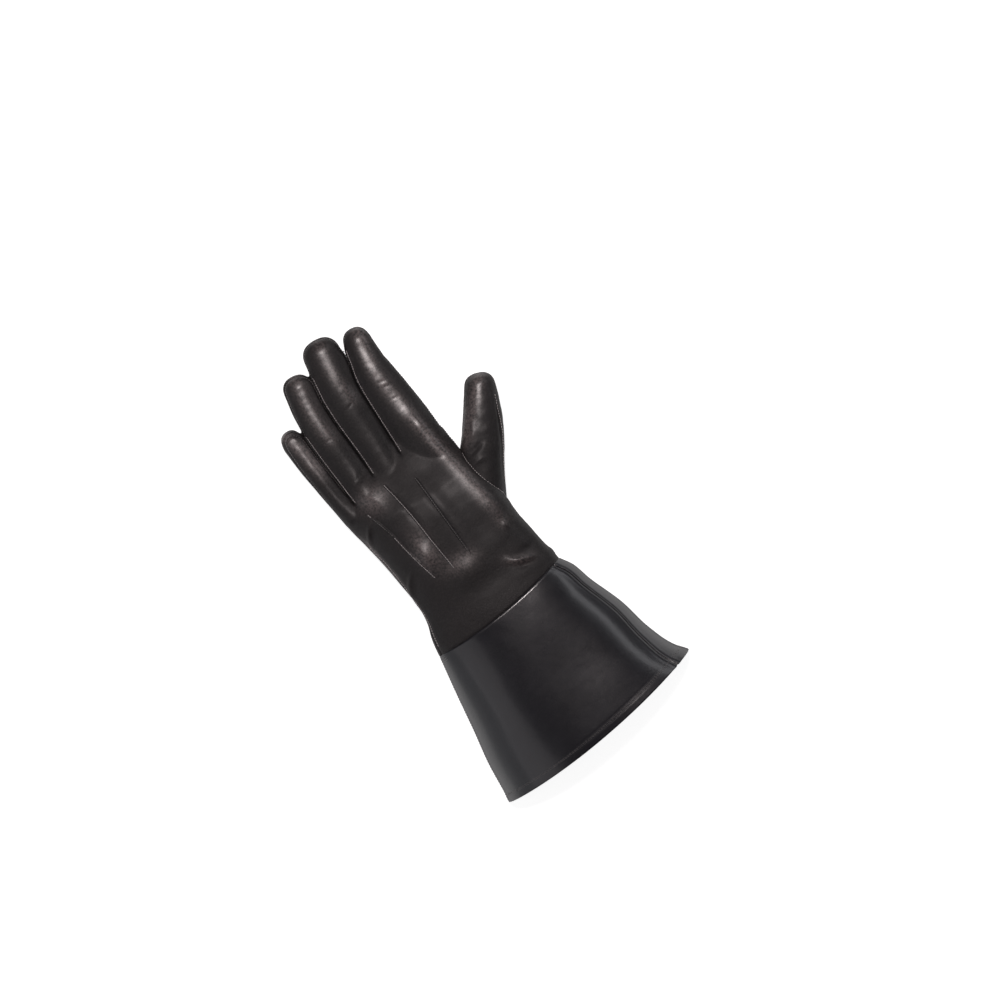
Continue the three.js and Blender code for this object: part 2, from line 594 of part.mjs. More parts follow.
// The loop's fold and the step up behind it, measured from the middle bar
const LOOP_BACK = 0.5;
const STEP_START = 1.6;
const STEP_END = 2.2;
const STEP_BACK = 0.4;
const chapeUnder = lowerTop - CHAPE_THICK;
const chapeLoopBottom = barZ - WIRE / 2 - GAP - CHAPE_THICK;
const chapeFold = barMiddle - LOOP_BACK;
const chape = slab([
  [CHAPE_END, lowerTop], ...fold(chapeFold, lowerTop, chapeLoopBottom, -1),
  [barMiddle + STEP_START, chapeLoopBottom], [barMiddle + STEP_END, chapeBottom],
  [CHAPE_END, chapeBottom], [CHAPE_END, chapeBottom + CHAPE_THICK],
  [barMiddle + STEP_END - STEP_BACK, chapeBottom + CHAPE_THICK],
  [barMiddle + STEP_START - STEP_BACK, chapeLoopBottom + CHAPE_THICK],
  ...fold(chapeFold, chapeUnder, chapeLoopBottom + CHAPE_THICK, -1).reverse(), [CHAPE_END, chapeUnder],
], strapLow, strapHigh).subtract(handClear);

// Buckle: a rounded frame of wire with one more bar across it
const CORNER_TURNS = 3;
const WIRE_SIDES = 8;
function framePoints() {
  const [halfX, halfY] = [(barRight - barLeft) / 2, (BUCKLE_LENGTH - WIRE) / 2];
  const points = [];
  for (const [sx, sy, start] of [[1, 1, 0], [-1, 1, 0.5], [-1, -1, 1], [1, -1, 1.5]]) {
    for (let n = 0; n <= CORNER_TURNS; n += 1) {
      const angle = Math.PI * (start + n / (2 * CORNER_TURNS));
      points.push(new THREE.Vector3(
        (barLeft + barRight) / 2 + sx * (halfX - BUCKLE_CORNER) + BUCKLE_CORNER * Math.cos(angle),
        STRAP_Y + sy * (halfY - BUCKLE_CORNER) + BUCKLE_CORNER * Math.sin(angle),
        barZ,
      ));
    }
  }
  return points;
}

const wireRing = framePoints();
const frameRings = wireRing.map((at, index) => {
  const ahead = wireRing[(index + 1) % wireRing.length];
  const behind = wireRing[(index + wireRing.length - 1) % wireRing.length];
  const out = new THREE.Vector3(ahead.y - behind.y, behind.x - ahead.x, 0).normalize();
  return Array.from({ length: WIRE_SIDES }, (_, n) => {
    const angle = (2 * Math.PI * (n + 0.5)) / WIRE_SIDES;
    const spot = at.clone().addScaledVector(out, (WIRE / 2) * Math.cos(angle));
    return spot.setZ(barZ + (WIRE / 2) * Math.sin(angle));
  });
});

// Rings joined end to end into a closed loop, with no end caps
function ringLoop(rings) {
  const sides = rings[0].length;
  const points = rings.flat();
  const faces = [];
  for (let r = 0; r < rings.length; r += 1) {
    const next = ((r + 1) % rings.length) * sides;
    for (let s = 0; s < sides; s += 1) {
      const t = (s + 1) % sides;
      faces.push([r * sides + s, r * sides + t, next + t], [r * sides + s, next + t, next + s]);
    }
  }
  return facedSolid(points, faces);
}

const bar = new THREE.CylinderGeometry(WIRE / 2, WIRE / 2, BUCKLE_LENGTH - WIRE, WIRE_SIDES);
bar.rotateY(Math.PI / WIRE_SIDES);
bar.translate(barMiddle, STRAP_Y, barZ);
const buckle = ringLoop(frameRings).add(toSolid(bar));

const capBottom = upperBottom - GAP;
// Domed cap: radius as a share of the cap's, drop as a share of its rise
const CAP_DOME = [[0, 1], [0.5, 0.9], [0.86, 0.55], [1, 0.15], [1, 0]];
const snapCap = turned([
  ...CAP_DOME.map(([wide, drop]) => [CAP_RADIUS * wide, capBottom - CAP_RISE * drop]),
  [CAP_POST, capBottom], [CAP_POST, upperTop], [0, upperTop],
], TAB_X, STRAP_Y);
const STUD_NECK = 0.8; // radius of a stud's neck and end, of its ball
const STUD_ROUND = 0.5;
const SPARE_SIZE = 0.75; // ball of the spare stud, of the snap's
const SPARE_RAISE = 1;
function stud(x, flange, ball, bottom) {
  const under = lowerBottom - GAP;
  return turned([
    [0, bottom], [ball * STUD_NECK, bottom], [ball, bottom + STUD_ROUND],
    [ball * STUD_NECK, under - PLATE], [flange, under - PLATE],
    [flange, under], [CAP_POST, under], [CAP_POST, lowerTop], [0, lowerTop],
  ], x, STRAP_Y);
}
const snapStud = stud(TAB_X, STUD_FLANGE, STUD_BALL, upperTop + GAP).subtract(handClear);
const spareBottom = upperTop + SPARE_RAISE;
const spareStud = stud(SPARE_X, SPARE_FLANGE, STUD_BALL * SPARE_SIZE, spareBottom).subtract(handClear);

const handLeather = { color: 0x191615, roughness: 0.5, metalness: 0 };
const cuffLeather = { color: 0x0f1013, roughness: 0.3, metalness: 0 };
const strapLeather = { color: 0x171514, roughness: 0.4, metalness: 0 };
const steel = { color: 0x8f8b86, roughness: 0.3, metalness: 1 };

const pieces = [
  ['back_panel', backPanel, handLeather],
  ['palm_panel', palmPanel, handLeather],
  ['fourchette_ring_little', fourchettes[0], handLeather],
  ['fourchette_middle_ring', fourchettes[1], handLeather],
  ['fourchette_index_middle', fourchettes[2], handLeather],
  ['thumb', thumb, handLeather],
  ['cuff_back', cuffBack, cuffLeather],
  ['cuff_palm', cuffPalm, cuffLeather],
  ['strap', strap, strapLeather],
  ['chape', chape, strapLeather],
  ['buckle', buckle, steel],
  ['snap_cap', snapCap, steel],
  ['snap_stud', snapStud, steel],
  ['spare_stud', spareStud, steel],
];

const glove = new THREE.Group();
for (const [name, solid, finish] of pieces) {
  const mesh = new THREE.Mesh(toGeometry(solid), new THREE.MeshStandardMaterial(finish));
  mesh.name = name;
  glove.add(mesh);
}

// The origin is the middle of the glove's box, on the ground
const box = new THREE.Box3().setFromObject(glove);
glove.position.set(-(box.min.x + box.max.x) / 2, -(box.min.y + box.max.y) / 2, -box.min.z);

export default glove;
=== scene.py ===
"""A left-hand gauntlet glove of black leather, palm down, with its strap and buckle under the wrist."""

import logging
import math
from dataclasses import dataclass, field
from enum import Enum
from typing import Callable, Iterable, Sequence

import bpy
import numpy as np
from mathutils import Matrix, Vector, kdtree, noise


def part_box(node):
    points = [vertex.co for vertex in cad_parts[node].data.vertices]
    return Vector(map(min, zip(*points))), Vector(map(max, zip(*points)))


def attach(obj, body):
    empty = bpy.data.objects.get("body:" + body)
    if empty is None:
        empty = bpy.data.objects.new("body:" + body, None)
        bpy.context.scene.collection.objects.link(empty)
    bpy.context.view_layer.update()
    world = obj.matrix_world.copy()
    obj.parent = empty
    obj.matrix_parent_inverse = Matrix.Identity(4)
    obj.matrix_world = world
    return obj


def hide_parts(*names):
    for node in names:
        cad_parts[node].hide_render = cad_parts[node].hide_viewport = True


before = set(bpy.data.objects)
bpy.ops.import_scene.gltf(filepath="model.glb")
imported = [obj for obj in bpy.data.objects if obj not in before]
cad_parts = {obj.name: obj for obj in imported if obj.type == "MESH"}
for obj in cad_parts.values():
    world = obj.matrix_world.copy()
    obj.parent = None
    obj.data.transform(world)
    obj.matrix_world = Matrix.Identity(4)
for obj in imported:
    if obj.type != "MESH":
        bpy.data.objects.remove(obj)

LOG = logging.getLogger("gauntlet_glove")
MM = 0.001
# Lowest height of the leather over the floor, in millimetres
GROUND = 0.05
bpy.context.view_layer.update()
Array = np.ndarray
Colour = tuple[float, float, float]
Field = Callable[[Array], Array]


class Slot(Enum):
    """Names of the glove's finishes."""

    HAND = "hand_leather"
    CUFF = "cuff_leather"
    STRAP = "strap_leather"
    METAL = "metal"


@dataclass(frozen=True)
class GloveSizes:
    """Driving sizes of the glove, in millimetres, with the wrist seam's little-finger end at y = 0."""

    hand_wall: float = 0.9
    cuff_wall: float = 1.1
    finger_gap: float = 0.6
    lap: float = 6.0
    lap_step: float = 1.5
    cuff_length: float = 119.0
    cuff_skew: float = 11.0
    mouth_width: float = 172.0
    mouth_left: float = 86.0
    mouth_height: float = 44.0
    hem_bow: float = 6.0
    hem_width: float = 7.0
    side_strip: float = 6.2
    mouth_strip: float = 13.4
    seam_width: float = 113.0
    seam_left: float = 72.0
    seam_height: float = 36.0
    seam_skew: float = 14.0
    seam_bow: float = 4.5
    seam_raise: float = 0.6
    hand_length: float = 136.0
    palm_width: float = 104.0
    hand_height: float = 34.0
    wrist_raise: float = 9.0
    rest_flat: float = 0.6
    strap_y: float = 32.5
    tab_x: float = -40.0


SIZES = GloveSizes()

# Rows from the hem (0) to the wrist seam (1): place along the cuff, share of the flare that is left on
# each side, share of the seam's raised underside, height of the widest level as a share of the height
CUFF_ROWS = (
    (0.00, 1.00, 1.00, 0.00, 0.12),
    (0.10, 0.94, 0.82, 0.00, 0.12),
    (0.27, 0.86, 0.64, 0.00, 0.13),
    (0.52, 0.57, 0.48, 0.00, 0.16),
    (0.77, 0.29, 0.24, 0.15, 0.24),
    (0.92, 0.10, 0.12, 0.60, 0.34),
)

# Rows from the wrist seam (0) to the finger roots (1): place along the hand, shares of the seam's skew
# and bow, left and right edge as shares of the palm width, share of the wrist's raised underside, share
# of the hand's height, height of the widest level as a share of that
HAND_ROWS = (
    (0.096, 0.64, 0.45, -0.673, 0.385, 0.80, 1.03, 0.48),
    (0.180, 0.15, 0.00, -0.640, 0.365, 1.00, 1.00, 0.52),
    (0.320, 0.00, 0.00, -0.635, 0.337, 1.00, 1.00, 0.52),
    (0.430, 0.00, 0.00, -0.654, 0.312, 0.45, 1.01, 0.42),
    (0.570, 0.00, 0.00, -0.683, 0.298, 0.00, 1.00, 0.36),
    (0.720, 0.00, 0.00, -0.721, 0.250, 0.00, 0.94, 0.36),
    (0.870, 0.20, 0.00, -0.760, 0.207, 0.00, 0.77, 0.38),
    (0.925, 1.14, -3.20, -0.765, 0.188, 0.00, 0.50, 0.45),
)


def blend_rows(stations: Array, rows: Array, at: Array) -> Array:
    """Runs a smooth curve through the rows of a table.

    Args:
        stations: Rising place of each row.
        rows: One row of values for each station.
        at: Places to read the curve at.

    Returns:
        One row of values for each place.
    """
    slopes = np.gradient(rows, stations, axis=0)
    index = np.clip(np.searchsorted(stations, at) - 1, 0, len(stations) - 2)
    width = (stations[index + 1] - stations[index])[:, None]
    t = ((at - stations[index]) / width[:, 0])[:, None]
    low, high = rows[index], rows[index + 1]
    start, end = slopes[index] * width, slopes[index + 1] * width
    return (
        low * (2 * t**3 - 3 * t**2 + 1)
        + start * (t**3 - 2 * t**2 + t)
        + high * (3 * t**2 - 2 * t**3)
        + end * (t**3 - t**2)
    )


def ease(value: Array, low: float, high: float) -> Array:
    """Rises smoothly from 0 at low to 1 at high."""
    t = np.clip((value - low) / (high - low), 0.0, 1.0)
    return t * t * (3 - 2 * t)


def power(value: Array, exponent: Array) -> Array:
    """A signed power, for the rounded sections."""
    return np.sign(value) * np.abs(value) ** exponent


def unit(rows: Array) -> Array:
    """Rows scaled to length 1."""
    return rows / np.linalg.norm(rows, axis=1, keepdims=True)


def distances(route: Array) -> Array:
    """Distance of each point of a route from its start, along the route."""
    return np.concatenate([[0], np.cumsum(np.linalg.norm(np.diff(route, axis=0), axis=1))])


def search_tree(points: Array) -> kdtree.KDTree:
    """A tree that finds the points nearest to a place."""
    tree = kdtree.KDTree(len(points))
    for number, point in enumerate(points):
        tree.insert(point, number)
    tree.balance()
    return tree


@dataclass
class Surface:
    """An open or closed skin of quads, in millimetres in the glove's own frame."""

    points: Array
    quads: Array

    def normals(self) -> Array:
        """Outward directions at the points."""
        a, b, c, d = (self.points[self.quads[:, n]] for n in range(4))
        cross = np.cross(c - a, d - b)
        total = np.zeros_like(self.points)
        for n in range(4):
            np.add.at(total, self.quads[:, n], cross)
        return total / np.maximum(np.linalg.norm(total, axis=1, keepdims=True), 1e-9)

    def compact(self, quads: Array) -> "Surface":
        """The part of the skin that some of its quads make."""
        used, flat = np.unique(quads, return_inverse=True)
        return Surface(self.points[used].copy(), flat.reshape(quads.shape))

    def cut(self, keep: Field, steps: int = 3) -> "Surface":
        """Keeps the quads where a field is positive and draws the new edge onto the field's zero line.

        Args:
            keep: Field over points, about a distance in millimetres.
            steps: How often the edge points are moved.

        Returns:
            The part of the skin that is kept.
        """
        part = self.compact(self.quads[keep(self.points[self.quads].mean(axis=1)) > 0])
        part = part.largest()
        edge = part.rim_points()
        ways = part.normals()[edge]
        for _ in range(steps):
            here = part.points[edge]
            value = keep(here)
            slope = np.stack([(keep(here + step) - value) / 0.05 for step in np.eye(3) * 0.05], axis=1)
            slope -= ways * (slope * ways).sum(axis=1, keepdims=True)
            size = np.maximum((slope**2).sum(axis=1), 0.15)
            move = -slope * (value / size)[:, None]
            reach = np.linalg.norm(move, axis=1, keepdims=True)
            near = np.abs(value) < 2.5
            move *= np.minimum(1, 0.8 / np.maximum(reach, 1e-6))
            part.points[edge] += np.where(near[:, None], move, 0)
        return part

    def edges(self) -> tuple[Array, Array]:
        """All directed edges and how many quads use each undirected one."""
        directed = np.concatenate([self.quads[:, [n, (n + 1) % 4]] for n in range(4)])
        pairs = np.sort(directed, axis=1)
        _, inverse, count = np.unique(pairs, axis=0, return_inverse=True, return_counts=True)
        return directed, count[inverse.ravel()]

    def rim(self) -> Array:
        """Directed edges that only one quad uses."""
        directed, count = self.edges()
        return directed[count == 1]

    def rim_points(self) -> Array:
        """Numbers of the points on the open edges."""
        return np.unique(self.rim())

    def loops(self) -> list[Array]:
        """The open edges as runs of point numbers, longest first."""
        after = {int(a): int(b) for a, b in self.rim()}
        runs = []
        while after:
            start, point = after.popitem()
            run = [start]
            while point in after:
                run.append(point)
                point = after.pop(point)
            runs.append(np.array(run))
        return sorted(runs, key=len, reverse=True)

    def largest(self) -> "Surface":
        """The largest connected part of the skin."""
        label = np.arange(len(self.points))
        directed, _ = self.edges()
        while True:
            low = np.minimum(label[directed[:, 0]], label[directed[:, 1]])
            fresh = label.copy()
            np.minimum.at(fresh, directed[:, 0], low)
            np.minimum.at(fresh, directed[:, 1], low)
            fresh = fresh[fresh]
            if np.array_equal(fresh, label):
                break
            label = fresh
        owner = label[self.quads[:, 0]]
        names, count = np.unique(owner, return_counts=True)
        return self.compact(self.quads[owner == names[count.argmax()]])

    def smooth(self, rounds: int, share: float = 0.5) -> None:
        """Evens out the inner points, leaving the open edges where they are."""
        directed, _ = self.edges()
        still = np.zeros(len(self.points), dtype=bool)
        still[self.rim_points()] = True
        count = np.bincount(directed[:, 0], minlength=len(self.points)).astype(float)
        count += np.bincount(directed[:, 1], minlength=len(self.points))
        for _ in range(rounds):
            total = np.zeros_like(self.points)
            np.add.at(total, directed[:, 0], self.points[directed[:, 1]])
            np.add.at(total, directed[:, 1], self.points[directed[:, 0]])
            target = total / np.maximum(count, 1)[:, None]
            self.points += np.where(still[:, None], 0, (target - self.points) * share)

    def wall(self, thickness: float, inner_lift: Array | None = None) -> "Surface":
        """Closes the skin into a wall by giving it an inner side.

        Args:
            thickness: Leather thickness.
            inner_lift: Optional extra thickness at each point.

        Returns:
            A closed skin.
        """
        depth = np.full(len(self.points), thickness) if inner_lift is None else thickness + inner_lift
        inner = self.points - self.normals() * depth[:, None]
        inner[:, 2] = np.maximum(inner[:, 2], thickness * 0.9)
        size = len(self.points)
        rim = self.rim()
        sides = np.column_stack([rim[:, 1], rim[:, 0], rim[:, 0] + size, rim[:, 1] + size])
        quads = np.vstack([self.quads, self.quads[:, ::-1] + size, sides])
        return Surface(np.vstack([self.points, inner]), quads)

    def edge_distance(self) -> Array:
        """Distance of every point from the nearest open edge."""
        tree = search_tree(self.points[self.rim_points()])
        return np.array([tree.find(point)[2] for point in self.points])


class Workshop:
    """Turns skins into objects that ride on the glove's body."""

    def __init__(self, sizes: GloveSizes) -> None:
        """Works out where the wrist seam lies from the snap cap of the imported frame."""
        low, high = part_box("snap_cap")
        middle = (np.array(low) + np.array(high)) / 2
        self.origin = np.array([middle[0] - sizes.tab_x * MM, middle[1] - sizes.strap_y * MM, 0.0])

    def mesh(self, name: str, skin: Surface, smooth_angle: float = 40.0) -> bpy.types.Object:
        """Makes a mesh object from a skin.

        Args:
            name: Name of the piece.
            skin: Skin in millimetres.
            smooth_angle: Edges sharper than this stay hard, in degrees.

        Returns:
            The new object, with its place in its mesh.
        """
        data = bpy.data.meshes.new(name)
        data.from_pydata((skin.points * MM + self.origin).tolist(), [], skin.quads.tolist())
        data.validate()
        piece = bpy.data.objects.new(name, data)
        bpy.context.scene.collection.objects.link(piece)
        select_only(piece)
        bpy.ops.object.shade_smooth_by_angle(angle=math.radians(smooth_angle))
        return piece

    def read(self, piece: bpy.types.Object) -> Surface:
        """Reads a mesh of quads back as a skin."""
        data = piece.data
        points = np.empty(len(data.vertices) * 3)
        data.vertices.foreach_get("co", points)
        quads = np.array([tuple(face.vertices) for face in data.polygons if len(face.vertices) == 4])
        return Surface((points.reshape(-1, 3) - self.origin) / MM, quads)

    def remeshed(self, name: str, form: Surface, voxel: float) -> Surface:
        """One even skin round a form, whose parts may overlap.

        Args:
            name: Name of the rough mesh, which is removed again.
            form: The closed parts.
            voxel: Size of the new quads.

        Returns:
            The new skin.
        """
        rough = self.mesh(name, form)
        apply_modifier(rough, "REMESH", mode="VOXEL", voxel_size=voxel * MM)
        skin = self.read(rough)
        bpy.data.objects.remove(rough)
        return skin

    def place(self, piece: bpy.types.Object, slot: Slot, finish: bpy.types.Material,
              nodes: Sequence[str] = ()) -> None:
        """Dresses a piece, makes it ride on the glove and hides the imported parts that it stands for."""
        piece.data.materials.clear()
        piece.data.materials.append(finish)
        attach(piece, "root")
        if nodes:
            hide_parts(*nodes)
        LOG.info("%s: %d faces", piece.name, len(piece.data.polygons))


def select_only(piece: bpy.types.Object) -> None:
    """Makes one object the only selected and the active one."""
    bpy.ops.object.select_all(action="DESELECT")
    piece.select_set(True)
    bpy.context.view_layer.objects.active = piece


def apply_modifier(piece: bpy.types.Object, kind: str, **settings: object) -> None:
    """Adds a modifier with its settings and applies it."""
    select_only(piece)
    modifier = piece.modifiers.new(kind.title(), kind)
    for key, value in settings.items():
        setattr(modifier, key, value)
    bpy.ops.object.modifier_apply(modifier=modifier.name)


def tube_quads(rings: int, sides: int) -> Array:
    """Quads between neighbouring closed rings of points."""
    first = np.arange(rings - 1)[:, None] * sides
    side = np.arange(sides)[None, :]
    turn = (side + 1) % sides
    quads = np.stack([first + side, first + turn, first + turn + sides, first + side + sides], axis=-1)
    return quads.reshape(-1, 4)


def grid_quads(rows: int, columns: int) -> Array:
    """Quads of an open grid of points."""
    first = np.arange(rows - 1)[:, None] * columns + np.arange(columns - 1)[None, :]
    quads = np.stack([first, first + 1, first + columns + 1, first + columns], axis=-1)
    return quads.reshape(-1, 4)


@dataclass
class Sleeve:
    """The run of sections from the cuff's hem to the finger roots."""

    sizes: GloveSizes
    stations: Array = field(init=False)
    rows: Array = field(init=False)

    TOP_LEFT = 2.1
    TOP_RIGHT = 2.5
    UNDER = 3.4

    def __post_init__(self) -> None:
        """Works the rows out: ends, bow, edges, underside, top and belly."""
        s = self.sizes
        rows = []
        seam_under = self.sole(s.wrist_raise, s.seam_raise)
        seam_right = s.seam_width - s.seam_left
        for along, left, right, raised, belly in CUFF_ROWS:
            top = s.mouth_height + (s.seam_height - s.mouth_height) * along
            rows.append((
                -s.cuff_length * (1 - along),
                s.seam_skew + (s.cuff_skew - s.cuff_length) * (1 - along),
                s.hem_bow + (s.seam_bow - s.hem_bow) * along,
                -s.seam_left + (s.seam_left - s.mouth_left) * left,
                seam_right + (s.mouth_width - s.mouth_left - seam_right) * right,
                self.sole(s.wrist_raise * s.seam_raise, raised), top, top * belly,
            ))
        rows.append((0.0, s.seam_skew, s.seam_bow, -s.seam_left, seam_right, seam_under, s.seam_height,
                     s.seam_height * 0.44))
        for along, skew, bow, left, right, raised, high, belly in HAND_ROWS:
            top = s.hand_height * high
            rows.append((
                s.hand_length * along, s.hand_length * along + s.seam_skew * skew, s.seam_bow * bow,
                s.palm_width * left, s.palm_width * right,
                self.sole(s.wrist_raise, raised), top, top * belly,
            ))
        self.rows = np.array(rows)
        self.stations = self.rows[:, 0]

    def sole(self, height: float, share: float) -> float:
        """Underside raised by a share of a height; unraised, it sinks to be flattened."""
        return -self.sizes.rest_flat + (height + self.sizes.rest_flat) * share

    def at(self, along: Array) -> Array:
        """Sections at distances from the wrist seam, one row each."""
        return blend_rows(self.stations, self.rows, np.atleast_1d(np.asarray(along, dtype=float)))

    def rings(self, along: Array, angles: Array, inset: Array | float = 0.0) -> Array:
        """Points of the sections.

        Args:
            along: Distance of each section from the wrist seam.
            angles: Places round the section, shared by all or one row for each section.
            inset: How far the section is drawn in, one for all or one for each.

        Returns:
            An array of sections by places by xyz.
        """
        left_y, right_y, bow, left, right, under, top, belly = (c[:, None] for c in self.at(along).T)
        inset = np.broadcast_to(np.asarray(inset, dtype=float), (len(left),))[:, None]
        angles = np.broadcast_to(angles, (len(left), np.shape(angles)[-1]))
        cos, sin = np.cos(angles), np.sin(angles)
        blunt = np.where(sin >= 0, np.where(cos < 0, self.TOP_LEFT, self.TOP_RIGHT), self.UNDER)
        half = (right - left) / 2
        x = (left + right) / 2 + (half - inset) * power(cos, 2 / blunt)
        z = belly + (np.where(sin >= 0, top - belly, belly - under) - inset) * power(sin, 2 / blunt)
        u = (x - (left + right) / 2) / half
        y = left_y + (right_y - left_y) * (u + 1) / 2 - bow * (1 - u * u)
        return np.stack([x, y, z], axis=-1)

    def top_angle(self, along: Array, x: Array) -> Array:
        """Place round each section where its upper side is at x."""
        _, _, _, left, right, _, _, _ = self.at(along).T
        u = (x - (left + right) / 2) / ((right - left) / 2)
        blunt = np.where(u < 0, self.TOP_LEFT, self.TOP_RIGHT)
        return np.arccos(np.clip(power(u, blunt / 2), -1, 1))

    def height(self, x: Array, y: Array) -> Array:
        """Height of the upper side over straight sections of the hand."""
        _, _, _, left, right, _, top, belly = self.at(y).T
        u = np.clip(np.abs(x - (left + right) / 2) / ((right - left) / 2), 0, 0.999)
        blunt = np.where(x < (left + right) / 2, self.TOP_LEFT, self.TOP_RIGHT)
        return belly + (top - belly) * (1 - u**blunt) ** (1 / blunt)

    def seam_line(self, x: Array) -> Array:
        """The wrist seam's place along the glove at x."""
        s = self.sizes
        u = np.clip((x + s.seam_left) / (s.seam_width / 2) - 1, -1.2, 1.2)
        return s.seam_skew * (u + 1) / 2 - s.seam_bow * (1 - u * u)


@dataclass(frozen=True)
class Digit:
    """A finger or thumb: root, length, width, thickness and rows from root to tip.

    Each row holds the place along the digit, the sideways shift and the width as shares of the
    width, and the thickness as a share of the thickness.
    """

    name: str
    root: tuple[float, float]
    length: float
    width: float
    thick: float
    rows: tuple[tuple[float, float, float, float], ...]
    blunt_tip: float = 0.75

    SIDES = 72
    STEPS = 90
    TIP_STEPS = 22
    BELLY = 0.44

    def spine(self, gap: float) -> Array:
        """Rows of x, y, half width and top along the digit, with its round tip."""
        table = np.array(self.rows)
        along = np.linspace(0, table[-1, 0], self.STEPS)
        rows = blend_rows(table[:, 0], table, along)
        spine = np.column_stack([
            self.root[0] + rows[:, 1] * self.width, self.root[1] + along * self.length,
            (self.width - gap) * rows[:, 2] / 2, self.thick * rows[:, 3],
        ])
        last, before = spine[-1], spine[-4]
        lean = (last[0] - before[0]) / (last[1] - before[1])
        angle = np.linspace(0, np.pi / 2, self.TIP_STEPS + 1)[1:-1]
        reach = self.length * (1 - table[-1, 0]) * np.sin(angle)
        shrink = np.cos(angle) ** self.blunt_tip
        tip = np.column_stack([
            last[0] + lean * reach * 0.6, last[1] + reach,
            last[2] * shrink, last[3] * (0.25 + 0.75 * shrink),
        ])
        return np.vstack([spine, tip])

    def rings(self, sizes: GloveSizes, sides: int = SIDES) -> Array:
        """Rings of points along the digit."""
        spine = self.spine(sizes.finger_gap)
        ways = np.gradient(spine[:, :2], axis=0)
        turn = np.arctan2(ways[:, 0], ways[:, 1])[:, None]
        angle = (2 * np.pi * (np.arange(sides) + 0.5) / sides)[None, :]
        blunt = np.where(np.sin(angle) > 0, 2.3, 3.0)
        across = spine[:, 2:3] * power(np.cos(angle), 2 / blunt)
        belly = spine[:, 3:4] * self.BELLY
        reach = np.where(np.sin(angle) > 0, spine[:, 3:4] - belly, belly + sizes.rest_flat)
        return np.stack([
            spine[:, 0:1] + across * np.cos(turn), spine[:, 1:2] - across * np.sin(turn),
            belly + reach * power(np.sin(angle), 2 / blunt),
        ], axis=-1)

    def reach(self) -> float:
        """Place of the last row, where the round tip starts."""
        return self.root[1] + self.length * self.rows[-1][0]

    def column(self, number: int, y: Array) -> Array:
        """One column of the rows, read at y."""
        table = np.array(self.rows)
        return np.interp((y - self.root[1]) / self.length, table[:, 0], table[:, number])

    def middle(self, y: Array) -> Array:
        """Sideways place of the digit's middle line at y."""
        return self.root[0] + self.width * self.column(1, y)

    def half(self, y: Array) -> Array:
        """Half width of the digit at y."""
        return self.width * self.column(2, y) / 2

    def depth(self, points: Array, sizes: GloveSizes) -> Array:
        """How far points lie inside the digit, about in millimetres; negative outside."""
        spine = self.spine(sizes.finger_gap)
        ways = unit(np.gradient(spine[:, :2], axis=0))
        gaps = points[:, None, :2] - spine[None, :, :2]
        nearest = np.abs((gaps * ways[None]).sum(axis=2)).argmin(axis=1)
        own = gaps[np.arange(len(points)), nearest]
        way = ways[nearest]
        across = (own[:, 0] * way[:, 1] - own[:, 1] * way[:, 0]) / spine[nearest, 2]
        belly = spine[nearest, 3] * self.BELLY
        rise = points[:, 2] - belly
        up = rise > 0
        level = rise / np.where(up, spine[nearest, 3] - belly, belly + sizes.rest_flat)
        blunt = np.where(up, 2.3, 3.0)
        size = (np.abs(across) ** blunt + np.abs(level) ** blunt) ** (1 / blunt)
        past_root = ((points[:, :2] - spine[0, :2]) * ways[0]).sum(axis=1)
        return np.minimum((1 - size) * np.minimum(spine[nearest, 2], spine[nearest, 3] / 2), past_root)


LITTLE = Digit("little", (-70.5, 118), 82, 18, 16, (
    (0.00, 0.00, 1.00, 1.30), (0.21, -0.21, 0.87, 1.15), (0.43, -0.34, 0.93, 1.05),
    (0.65, -0.46, 0.97, 1.00), (0.85, -0.51, 1.00, 0.95),
))
RING = Digit("ring", (-55.5, 118), 114, 25, 17.5, (
    (0.00, 0.02, 0.96, 1.30), (0.15, 0.04, 0.96, 1.18), (0.35, -0.02, 1.00, 1.05), (0.61, -0.11, 0.99, 1.00),
    (0.76, -0.09, 0.98, 0.97), (0.90, 0.00, 0.94, 0.93),
))
MIDDLE = Digit("middle", (-30.5, 118), 128, 29.5, 18.5, (
    (0.00, 0.00, 0.85, 1.25), (0.26, 0.00, 0.87, 1.12), (0.47, -0.03, 0.94, 1.02), (0.66, -0.03, 0.98, 1.00),
    (0.76, 0.04, 1.02, 0.98), (0.90, 0.11, 1.00, 0.93),
))
INDEX = Digit("index", (1.5, 118), 121, 33, 18.5, (
    (0.00, 0.00, 1.09, 1.25), (0.27, -0.03, 1.06, 1.12), (0.50, -0.07, 1.00, 1.02),
    (0.62, -0.10, 0.96, 1.00), (0.74, -0.11, 0.85, 0.97), (0.89, -0.05, 0.67, 0.90),
))
THUMB = Digit("thumb", (14, 70), 92, 33, 22, (
    (0.00, 0.00, 0.94, 1.10), (0.22, 0.29, 0.98, 1.10), (0.40, 0.56, 1.02, 1.08), (0.60, 0.93, 0.95, 1.00),
    (0.78, 1.21, 0.83, 0.90), (0.90, 1.37, 0.72, 0.82),
))
FINGERS = (LITTLE, RING, MIDDLE, INDEX)
CROTCHES = (135, 146, 149)


def cleft_reach(number: int) -> float:
    """How far the cleft between two neighbouring fingers runs towards their tips."""
    return min(digit.reach() for digit in FINGERS[number:number + 2])


